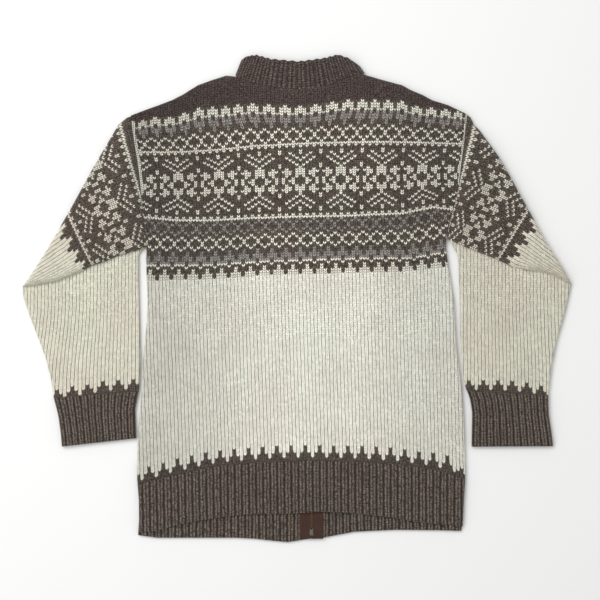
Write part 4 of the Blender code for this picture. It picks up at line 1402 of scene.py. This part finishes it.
def make_collar():
    """The doubled rib band round the neck, its ribs raised on both faces."""
    half = COLLAR_THICK / 2.0
    low = half + 0.02
    bend = (COLLAR_BACK_MID - low) / 2.0
    count = COLLAR_WALES * WALE_POINTS
    steps = collar_steps()
    points = []
    pattern = []
    for k in range(count + 1):
        place = k / count
        wale = k / WALE_POINTS
        seam_x, seam_y, top_x, top_y, turn = [float(read(COLLAR_PATH, place, k)) for k in range(1, 6)]
        if turn > 0.0:
            edge = float(read(BACK_TOP, seam_x)) + 0.1
            seam_y = edge + max(seam_y - edge, 0.3) * (1.0 - float(smooth(0.55, 0.95, turn)))
        angle = math.pi * turn
        middle = low + bend * (1.0 - math.cos(angle))
        out = -1.0 if place < 0.5 else 1.0
        across = out * math.sin(angle)
        height = math.dist((seam_x, seam_y), (top_x, top_y))
        rib = float(rib_relief(np.array(wale), np.array(0.5)))
        scallop = SCALLOP * (rib - 0.4) * turn
        for share, thick, row, swing in steps:
            rise = share * (height - half + scallop) + half * math.sin(swing)
            raised = 0.0
            if swing == 0.0:
                crown = 0.82 + 0.18 * (1.0 - abs(2.0 * (row % 1.0) - 1.0))
                raised = (rib * crown - 0.45) * COLLAR_RELIEF * (1.0 if thick > 0.0 else INSIDE_SHARE)
            away = thick * half + math.copysign(raised, thick)
            x = seam_x + rise * (top_x - seam_x) / height + across * (bend + away)
            y = seam_y + rise * (top_y - seam_y) / height
            points.append((x, y, middle - math.cos(angle) * away))
            pattern.append((wale, row))
    faces = ring_faces(len(points), len(steps))
    points = np.array(points)
    volume = 0.0
    for face in faces[:-2]:
        for second, third in ((1, 2), (2, 3)):
            a, b, c = [points[face[corner]] - points[0] for corner in (0, second, third)]
            volume += float(np.dot(a, np.cross(b, c)))
    if volume < 0.0:
        faces = [f[::-1] for f in faces]
    wale, row = np.array([pattern[f[0]] for f in faces]).astype(int).T
    shades = shade_table(np.full(len(faces), "top", dtype=object), wale, row, 71)
    return assemble("collar_rib", points, faces, shades, np.array(pattern))


def ring_faces(total, ring):
    """Faces of a tube of rings of points, with its two ends closed."""
    index = np.arange(total).reshape(-1, ring)
    after = np.roll(index, -1, axis=1)
    faces = np.stack([index[:-1], after[:-1], after[1:], index[1:]], axis=-1).reshape(-1, 4).tolist()
    return faces + [index[0].tolist()[::-1], index[-1].tolist()]


TAPE_FLOOR = 3.9
TAPE_THICK = 0.8
TAPE_NEAR = 3.1
TAPE_FOOT = -391.0
TAPE_HEAD = 312.0
CHAIN_MIDDLE = 4.3
CHAIN_HALF = 2.8
CHAIN_THICK = 2.2
CHAIN_FOOT = -375.0
CHAIN_HEAD = 296.7
TOOTH_PITCH = 2.6
TOOTH_LENGTH = 1.16
# distance from the chain's middle and height over the tape's floor, once round the tape
TAPE_SECTION = [
    (3.1, 0.05), (4.4, 0.0), (9.0, 0.0), (14.0, 0.0), (18.6, 0.0), (19.0, 0.2), (19.0, 0.55),
    (18.6, 0.75), (16.4, 0.8), (14.0, 0.78), (9.0, 0.78), (5.2, 0.78), (4.6, 1.02), (3.7, 1.02), (3.1, 0.75),
]
TAPE_WAVE_END = 18.0
# The tapes meet below the box, stand apart at it, and spread round the slider
FOOT_HEIGHT = -386.0
BOX_HEIGHT = -374.0
FOOT_NEAR = 0.02
BOX_NEAR = 3.1
CHAIN_NEAR = 1.0
SLIDER_NEAR = 4.8
SLIDER_REACH = 5.8
THREAD_PLACE = 16.6
THREAD_STEP = 4.1
THREAD_FOOT = -384.0


def zip_lift(y):
    """How far the collar's thickness lifts the zip."""
    return 1.1 * smooth(250.0, 268.0, y)


def tape_near(y):
    """How far the tape's inner edge lies from the chain's middle."""
    if y < FOOT_HEIGHT:
        return FOOT_NEAR
    if y < BOX_HEIGHT:
        return BOX_NEAR
    if abs(y - SLIDER_Y) < SLIDER_REACH:
        return SLIDER_NEAR
    return CHAIN_NEAR


def make_tape(side):
    """A woven tape: a bead along the teeth, a flat web, and a stiffened foot under the box."""
    places = np.concatenate([
        [TAPE_FOOT, -388.5, -386.2, -385.6, -380.0, -374.6],
        np.linspace(-373.6, 250.0, 120),
        np.linspace(252.0, 295.0, 18),
        [296.0, 296.4, 307.6, 308.0],
        np.linspace(309.0, TAPE_HEAD, 3),
    ])
    points = []
    pattern = []
    for y in places:
        near = tape_near(y)
        floor = TAPE_FLOOR + float(zip_lift(y))
        wave = 0.036 * math.sin(y / 17.0) + 0.024 * math.sin(y / 7.3 + 1.0)
        for away, level in TAPE_SECTION:
            reach = near + (away - TAPE_NEAR) * (TAPE_WIDTH - near) / (TAPE_WIDTH - TAPE_NEAR)
            height = floor + level + (wave if away < TAPE_WAVE_END else 0.0)
            points.append((zip_x(y) + OUT[side] * reach, y, height))
            pattern.append((reach, y))
    faces = ring_faces(len(points), len(TAPE_SECTION))
    if side == "right":
        faces = [f[::-1] for f in faces]
    shades = np.tile(np.array((*tone(*SHADES["dark"]), 1.0)), (len(faces), 1))
    return assemble("zip_tape_woven_" + side, np.array(points), faces, shades, np.array(pattern))


def start_block(name, centre, size):
    """A block at its size and place, open in edit mode with nothing selected."""
    bpy.ops.object.select_all(action="DESELECT")
    place = (centre[0] * MM, (centre[1] + TABLE_SHIFT_Y) * MM, centre[2] * MM)
    bpy.ops.mesh.primitive_cube_add(size=1.0, location=place)
    item = bpy.context.active_object
    item.name = name
    item.scale = [value * MM for value in size]
    bpy.ops.object.transform_apply(location=True, rotation=True, scale=True)
    bpy.ops.object.mode_set(mode="EDIT")
    bpy.ops.mesh.select_mode(type="FACE")
    bpy.ops.mesh.select_all(action="DESELECT")
    return item


def pick_faces(item, way):
    """Select the faces that look one way."""
    bm = bmesh.from_edit_mesh(item.data)
    for face in bm.faces:
        face.select_set(face.normal.dot(Vector(way)) > 0.9)
    bmesh.update_edit_mesh(item.data)


def repeat_along(item, count, step, bevel):
    """Bevel a small piece, repeat it along the zip and lift the row over the collar."""
    bpy.ops.object.mode_set(mode="OBJECT")
    if bevel > 0.0:
        edge = item.modifiers.new("edge", "BEVEL")
        edge.width = bevel * MM
        edge.segments = 1
        bpy.ops.object.modifier_apply(modifier="edge")
    row = item.modifiers.new("row", "ARRAY")
    row.count = count
    row.use_relative_offset = False
    row.use_constant_offset = True
    slope = (ZIP_HEAD_X - ZIP_FOOT_X) / (ZIP_HEAD_Y - ZIP_FOOT_Y)
    row.constant_offset_displace = (slope * step * MM, step * MM, 0.0)
    bpy.ops.object.modifier_apply(modifier="row")
    flat = np.empty(len(item.data.vertices) * 3)
    item.data.vertices.foreach_get("co", flat)
    flat = flat.reshape(-1, 3)
    flat[:, 2] += zip_lift(flat[:, 1] / MM - TABLE_SHIFT_Y) * MM
    item.data.vertices.foreach_set("co", flat.ravel())
    item.data.update()
    bpy.ops.object.shade_smooth_by_angle(angle=math.radians(40.0))
    return item


def make_teeth(side):
    """One side's teeth: blocks that grip the tape's bead, with heads that mesh in the middle."""
    out = OUT[side]
    first = CHAIN_FOOT + TOOTH_PITCH * (0.5 if side == "left" else 1.0)
    count = int((CHAIN_HEAD - first - TOOTH_LENGTH) / TOOTH_PITCH) + 1
    grip = 2.0
    centre = (zip_x(first) + out * (CHAIN_HALF - grip / 2.0), first, CHAIN_MIDDLE)
    tooth = start_block("zip_teeth_" + side, centre, (grip, TOOTH_LENGTH, CHAIN_THICK))
    pick_faces(tooth, (-out, 0.0, 0.0))
    # each length of the head, and the shares of its length and thickness that are left at its end
    for length, wide, thick in ((0.3, 1.0, 0.82), (0.9, 1.0, 1.0), (0.45, 0.8, 0.7)):
        bpy.ops.mesh.extrude_region_move(TRANSFORM_OT_translate={"value": (-out * length * MM, 0.0, 0.0)})
        bpy.ops.transform.resize(value=(1.0, wide, thick))
    return repeat_along(tooth, count, TOOTH_PITCH, 0.1)


def make_thread(side):
    """The sewing along a tape: short stitches, sunk a little into the weave."""
    count = int((TAPE_HEAD - 2.0 - THREAD_FOOT) / THREAD_STEP)
    x = zip_x(THREAD_FOOT) + OUT[side] * THREAD_PLACE
    centre = (x, THREAD_FOOT, TAPE_FLOOR + TAPE_THICK + 0.06)
    thread = start_block("zip_sewing_" + side, centre, (0.55, 2.0, 0.42))
    for way in (1.0, -1.0):
        bpy.ops.mesh.select_all(action="DESELECT")
        pick_faces(thread, (0.0, way, 0.0))
        bpy.ops.mesh.extrude_region_move(TRANSFORM_OT_translate={"value": (0.0, way * 0.7 * MM, -0.1 * MM)})
        bpy.ops.transform.resize(value=(0.5, 1.0, 0.5))
    return repeat_along(thread, count, THREAD_STEP, 0.09)


def make_camera():
    """A long lens straight above, at the photograph's framing."""
    height = 3.0
    cloth_level = 0.006
    data = bpy.data.cameras.new("camera")
    data.sensor_width = 36.0
    data.sensor_fit = "HORIZONTAL"
    data.clip_end = 20.0
    data.lens = data.sensor_width * (height - cloth_level) / (PHOTO_WIDTH * PIXEL * MM)
    camera = bpy.data.objects.new("camera", data)
    [(x, y)] = from_pixels([(PHOTO_WIDTH / 2.0, PHOTO_WIDTH / 2.0)])
    camera.location = (x * MM, (y + TABLE_SHIFT_Y) * MM, height)
    bpy.context.scene.collection.objects.link(camera)
    bpy.context.scene.camera = camera


FLOOR_SIZE = 12.0
FLOOR_LEVEL = -0.0012
DAYLIGHT = 0.6
LIGHTS = [
    # name, place, size, watts
    ("overhead", (-1.1, 1.1, 2.2), 1.6, 36.0),
    ("side", (-1.9, -0.5, 1.9), 1.6, 9.0),
]


def make_stage():
    """A pale floor under soft light."""
    bpy.ops.mesh.primitive_plane_add(size=FLOOR_SIZE, location=(0.0, 0.0, FLOOR_LEVEL))
    floor = bpy.context.active_object
    floor.name = "floor"
    bpy.ops.object.transform_apply(location=True, rotation=True, scale=True)
    surface = bpy.data.materials.new("floor_paint")
    surface.use_nodes = True
    shader = surface.node_tree.nodes["Principled BSDF"]
    shader.inputs["Base Color"].default_value = (0.93, 0.93, 0.925, 1.0)
    shader.inputs["Roughness"].default_value = 0.9
    shader.inputs["Specular IOR Level"].default_value = 0.1
    floor.data.materials.append(surface)
    bpy.ops.object.select_all(action="DESELECT")
    for name, place, size, watts in LIGHTS:
        data = bpy.data.lights.new(name, "AREA")
        data.size = size
        data.energy = watts
        light = bpy.data.objects.new(name, data)
        light.location = place
        light.rotation_euler = (-Vector(place)).to_track_quat("-Z", "Y").to_euler()
        bpy.context.scene.collection.objects.link(light)
    world = bpy.data.worlds.new("studio")
    world.use_nodes = True
    sky = world.node_tree.nodes["Background"]
    sky.inputs["Color"].default_value = (1.0, 1.0, 1.0, 1.0)
    sky.inputs["Strength"].default_value = DAYLIGHT
    bpy.context.scene.world = world
    bpy.context.scene.view_settings.view_transform = "Standard"


def paint(red, green, blue):
    """A daylight colour out of 255, for a colour socket."""
    return (*tone(red, green, blue), 1.0)


class Finish:
    """Short ways to lay out a material's nodes."""

    def __init__(self, name):
        self.material = bpy.data.materials.new(name)
        self.material.use_nodes = True
        self.nodes = self.material.node_tree.nodes
        self.links = self.material.node_tree.links
        self.shader = self.nodes["Principled BSDF"]
        self.place = self.add("ShaderNodeTexCoord").outputs["Object"]

    def add(self, kind, **settings):
        """A node with its settings."""
        node = self.nodes.new(kind)
        for key, value in settings.items():
            setattr(node, key, value)
        return node

    def feed(self, socket, value):
        """Link or set a socket."""
        if hasattr(value, "links"):
            self.links.new(value, socket)
        else:
            socket.default_value = value

    def fed(self, kind, *values, **settings):
        """A node with its settings, its first sockets fed in order."""
        node = self.add(kind, **settings)
        for socket, value in zip(node.inputs, values):
            self.feed(socket, value)
        return node

    def maths(self, operation, *values):
        """A sum on one, two or three values."""
        return self.fed("ShaderNodeMath", *values, operation=operation).outputs[0]

    def times(self, one, two):
        """Two values multiplied."""
        return self.maths("MULTIPLY", one, two)

    def scaled(self, value, factor, more):
        """A value times a factor, and more."""
        return self.maths("MULTIPLY_ADD", value, factor, more)

    def rest(self, value):
        """What is left of 1."""
        return self.maths("SUBTRACT", 1.0, value)

    def inward(self, value):
        """0 at each whole number and 1 half-way to the next."""
        return self.rest(self.maths("ABSOLUTE", self.scaled(self.maths("FRACT", value), 2.0, -1.0)))

    def ramp(self, value, low, high, to_low=0.0, to_high=1.0):
        """A value from one range to another, held at the ends."""
        limits = (low, high, to_low, to_high)
        return self.fed("ShaderNodeMapRange", value, *limits, interpolation_type="SMOOTHSTEP").outputs[0]

    def split(self, vector):
        """A vector's X and Y."""
        node = self.fed("ShaderNodeSeparateXYZ", vector)
        return node.outputs["X"], node.outputs["Y"]

    def stitches(self):
        """The wale and row that a point lies on."""
        return self.split(self.add("ShaderNodeUVMap", uv_map="stitches").outputs["UV"])

    def mix(self, factor, one, two, how="MIX"):
        """Two colours mixed."""
        node = self.add("ShaderNodeMix", data_type="RGBA", blend_type=how)
        self.feed(node.inputs["Factor"], factor)
        self.feed(node.inputs["A"], one)
        self.feed(node.inputs["B"], two)
        return node.outputs["Result"]

    def shaded(self, colour, brightness):
        """A colour made lighter or darker."""
        tint = self.fed("ShaderNodeCombineColor", brightness, brightness, brightness)
        return self.mix(1.0, colour, tint.outputs[0], "MULTIPLY")

    def noise(self, scale, detail, rough):
        """A soft noise, which stays near a half."""
        node = self.add("ShaderNodeTexNoise")
        self.feed(node.inputs["Vector"], self.place)
        node.inputs["Scale"].default_value = scale
        node.inputs["Detail"].default_value = detail
        node.inputs["Roughness"].default_value = rough
        return node.outputs["Fac"]

    def varied(self, amount, *noise):
        """A share about 1 that a noise moves up and down."""
        return self.scaled(self.maths("SUBTRACT", self.noise(*noise), 0.5), amount, 1.0)

    def bump(self, height, distance, strength, normal=None):
        """A bump on the surface."""
        node = self.add("ShaderNodeBump")
        node.inputs["Strength"].default_value = strength
        node.inputs["Distance"].default_value = distance
        self.feed(node.inputs["Height"], height)
        if normal is not None:
            self.feed(node.inputs["Normal"], normal)
        return node.outputs["Normal"]

    def surface(self, **values):
        """Settings on the shader itself."""
        for key, value in values.items():
            self.feed(self.shader.inputs[key.replace("_", " ")], value)


# How much painted shade darkens the grooves on pale and on dark yarn, the notch between a stitch's
# legs and the gap between rows on pale yarn, and how far the whole colour is lifted
PLAIN_SHADING = (0.76, 0.78, 0.2, 0.36, 1.1)
# on charted knitting the deeper notch is partly the dark strands that show between the legs and partly
# painted shade
CHARTED_SHADING = (0.88, 0.72, 0.66, 0.82, 1.31)
RIB_SHADING = (0.6, 0.86, 0.3, 0.55, 1.7)
COLLAR_SHADING = (0.6, 0.6, 0.3, 0.55, 1.5)
# The painted shade of the notch on dark yarn, in a rib and elsewhere, and of the gap between its rows, and
# the shade's limits
RIB_NOTCH = 0.78
STITCH_NOTCH = 0.5
DARK_ROW_GAP = 0.62
DEEPEST = 0.95
DARKEST = 0.12


def wool_finish(name, ribbed, charted):
    """Loosely spun wool: heathered shade, painted shade in the grooves between the legs and between rows,
    plies and fuzz.
    """
    finish = Finish(name)
    attribute = finish.add("ShaderNodeAttribute", attribute_name="yarn")
    yarn = attribute.outputs["Color"]
    pattern = attribute.outputs["Alpha"]
    groove_pale, groove_dark, notch_pale, gap_pale, lift = [
        finish.scaled(pattern, one - other, other) for one, other in zip(charted, PLAIN_SHADING)]
    wale, row = finish.stitches()
    green = finish.fed("ShaderNodeSeparateColor", yarn).outputs[1]
    # 1 on the dark yarns, which are spun of light and dark fibres, and 0 on the cream
    marled = finish.ramp(green, 0.1, 0.42, 1.0, 0.0)

    def by_yarn(pale, dark):
        """One depth on the pale yarns and another on the dark ones."""
        return finish.scaled(marled, finish.maths("SUBTRACT", dark, pale), pale)

    inward = finish.inward(wale)
    if ribbed:
        from_knit = finish.inward(finish.scaled(wale, 0.5, -0.25))
        groove = finish.ramp(from_knit, 0.52, 0.84)
        middle = finish.ramp(from_knit, 0.02, 0.34, 1.0, 0.0)
    else:
        groove = finish.ramp(inward, 0.0, 0.4, 1.0, 0.0)
        middle = finish.ramp(inward, 0.68, 1.0)
    row_edge = finish.rest(finish.inward(row))
    gap = finish.ramp(row_edge, finish.scaled(gap_pale, -0.8, 0.9), 1.0)
    # the painted shade in the plain parts' grooves deepens and fades along each wale
    opened = finish.varied(finish.scaled(pattern, -2.6, 2.6), 230.0, 2.0, 0.6)
    depth = finish.maths("MINIMUM", finish.times(by_yarn(groove_pale, groove_dark), opened), DEEPEST)
    notch = by_yarn(notch_pale, RIB_NOTCH if ribbed else STITCH_NOTCH)
    marl = finish.scaled(marled, 4.6, 0.9)
    # the first three shares are painted shade: in the grooves or sunk purl wales, in the notch between a
    # stitch's legs, and between rows
    shares = [
        finish.rest(finish.times(groove, depth)),
        finish.rest(finish.times(middle, notch)),
        finish.rest(finish.times(gap, by_yarn(gap_pale, DARK_ROW_GAP))),
        finish.varied(marl, 420.0, 2.0, 0.65),
        finish.varied(finish.times(marl, 0.8), 1500.0, 2.0, 0.6),
        finish.scaled(finish.noise(14.0, 2.0, 0.5), 0.24, 0.88),
    ]
    brightness = lift
    for share in shares:
        brightness = finish.times(brightness, share)
    colour = finish.shaded(yarn, finish.maths("MAXIMUM", brightness, DARKEST))
    # brown and greenish fibres blended into the dark yarns, and a slow drift in all of them
    blend = finish.ramp(finish.noise(260.0, 2.0, 0.6), 0.4, 0.6)
    fibres = finish.mix(blend, (1.1, 0.97, 0.93, 1.0), (0.93, 1.0, 0.95, 1.0))
    colour = finish.mix(marled, colour, finish.mix(1.0, colour, fibres, "MULTIPLY"))
    drift = finish.ramp(finish.noise(7.0, 2.0, 0.5), 0.35, 0.65)
    casts = finish.mix(drift, (1.0, 0.975, 0.965, 1.0), (0.985, 1.0, 0.985, 1.0))
    colour = finish.mix(1.0, colour, casts, "MULTIPLY")
    # plies twist across each leg, three to a row, and loose fibres stand off them
    twist = finish.maths("SINE", finish.scaled(row, 6.0 * math.pi, finish.times(inward, 9.0)))
    normal = finish.bump(twist, 0.00012, 0.5)
    normal = finish.bump(finish.noise(3200.0, 3.0, 0.7), 0.00035, 0.7, normal)
    finish.surface(Base_Color=colour, Normal=normal, Roughness=0.92)
    finish.surface(Specular_IOR_Level=0.18, Sheen_Weight=0.25, Sheen_Roughness=0.6)
    return finish.material


def tape_finish():
    """Brown woven tape: fine ribs along it, the threads that cross them, and a little wear."""
    rib_width = 0.9
    thread_width = 0.85
    finish = Finish("woven_tape")
    across, along = finish.stitches()
    warp = finish.maths("SINE", finish.times(across, 2.0 * math.pi / rib_width))
    slant = finish.scaled(across, 1.1, along)
    weft = finish.maths("SINE", finish.times(slant, 2.0 * math.pi / thread_width))
    weave = finish.scaled(warp, 0.5, finish.times(weft, 0.5))
    bright = finish.scaled(weave, 0.14, 0.66)
    bright = finish.times(bright, finish.scaled(finish.noise(60.0, 4.0, 0.6), 0.7, 0.65))
    bright = finish.times(bright, finish.scaled(finish.noise(1400.0, 2.0, 0.6), 0.6, 0.7))
    red = finish.ramp(finish.noise(25.0, 2.0, 0.5), 0.35, 0.65)
    colour = finish.shaded(finish.mix(red, paint(80, 56, 45), paint(86, 54, 47)), bright)
    finish.surface(Base_Color=colour, Normal=finish.bump(weave, 0.00012, 0.8), Roughness=0.8)
    finish.surface(Specular_IOR_Level=0.25, Sheen_Weight=0.15)
    return finish.material


def metal_finish():
    """Brown antiqued brass, paler where hands and the slider have rubbed it."""
    finish = Finish("antique_brass")
    stain = finish.ramp(finish.noise(180.0, 4.0, 0.6), 0.35, 0.7)
    rubbed = finish.ramp(finish.noise(900.0, 3.0, 0.6), 0.52, 0.72)
    ground = finish.mix(stain, paint(112, 82, 62), paint(78, 55, 44))
    colour = finish.mix(finish.times(rubbed, 0.4), ground, paint(160, 128, 94))
    rough = finish.scaled(stain, 0.22, 0.34)
    scratches = finish.bump(finish.noise(2500.0, 2.0, 0.5), 0.00004, 0.6)
    finish.surface(Base_Color=colour, Normal=scratches, Roughness=rough, Metallic=0.75)
    return finish.material


def plastic_finish():
    """Clear moulded plastic gone cloudy, brown from what lies beneath it."""
    finish = Finish("cloudy_plastic")
    cloud = finish.ramp(finish.noise(350.0, 3.0, 0.6), 0.3, 0.7)
    colour = finish.mix(cloud, paint(84, 76, 66), paint(112, 103, 90))
    normal = finish.bump(finish.noise(1500.0, 2.0, 0.5), 0.00004, 0.5)
    finish.surface(Base_Color=colour, Normal=normal, Roughness=0.38, Coat_Weight=0.3)
    return finish.material


def thread_finish():
    """Dark brown sewing thread, twisted."""
    twist_length = 0.0005
    finish = Finish("sewing_thread")
    x, y = finish.split(finish.place)
    slant = finish.scaled(x, 1.4, y)
    twist = finish.maths("SINE", finish.times(slant, 2.0 * math.pi / twist_length))
    colour = finish.mix(finish.ramp(twist, -1.0, 1.0), paint(52, 38, 32), paint(88, 66, 56))
    finish.surface(Base_Color=colour, Normal=finish.bump(twist, 0.00006, 0.8), Roughness=0.6)
    return finish.material


def finish_piece(item, material, nodes):
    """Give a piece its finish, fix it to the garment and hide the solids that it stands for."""
    item.data.materials.clear()
    item.data.materials.append(material)
    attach(item, "garment")
    if nodes:
        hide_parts(*nodes)


make_camera()
make_stage()
patterned = wool_finish("patterned_wool", False, CHARTED_SHADING)
ribs = wool_finish("rib_wool", True, RIB_SHADING)
collar_wool = wool_finish("collar_wool", True, COLLAR_SHADING)
tape_cloth = tape_finish()
metal = metal_finish()
plastic = plastic_finish()
thread = thread_finish()

yoke, body = make_back()
back_hem = make_back_hem()
collar = make_collar()
finish_piece(yoke, patterned, ["back_panel"])
finish_piece(body, patterned, ["back_panel"])
finish_piece(back_hem, ribs, ["hem_rib_back"])
finish_piece(collar, collar_wool, ["collar"])
for side in ("left", "right"):
    arm, fore, fore_under, cuff, cuff_under = make_sleeve(side)
    front = make_front(side)
    hem = make_front_hem(side)
    for piece in (arm, fore, fore_under):
        finish_piece(piece, patterned, ["sleeve_" + side])
    for piece in (cuff, cuff_under):
        finish_piece(piece, ribs, ["cuff_" + side])
    finish_piece(front, patterned, ["front_" + side + "_panel"])
    finish_piece(hem, ribs, ["hem_rib_front_" + side])

for side in ("left", "right"):
    tape = make_tape(side)
    teeth = make_teeth(side)
    sewing = make_thread(side)
    finish_piece(tape, tape_cloth, ["zip_tape_" + side])
    finish_piece(teeth, metal, ["zip_chain"])
    finish_piece(sewing, thread, [])
for name, material in (("zip_box", plastic), ("zip_slider", metal), ("zip_pull_tab", metal)):
    node = bpy.data.objects[name]
    node.data.materials.clear()
    node.data.materials.append(material)
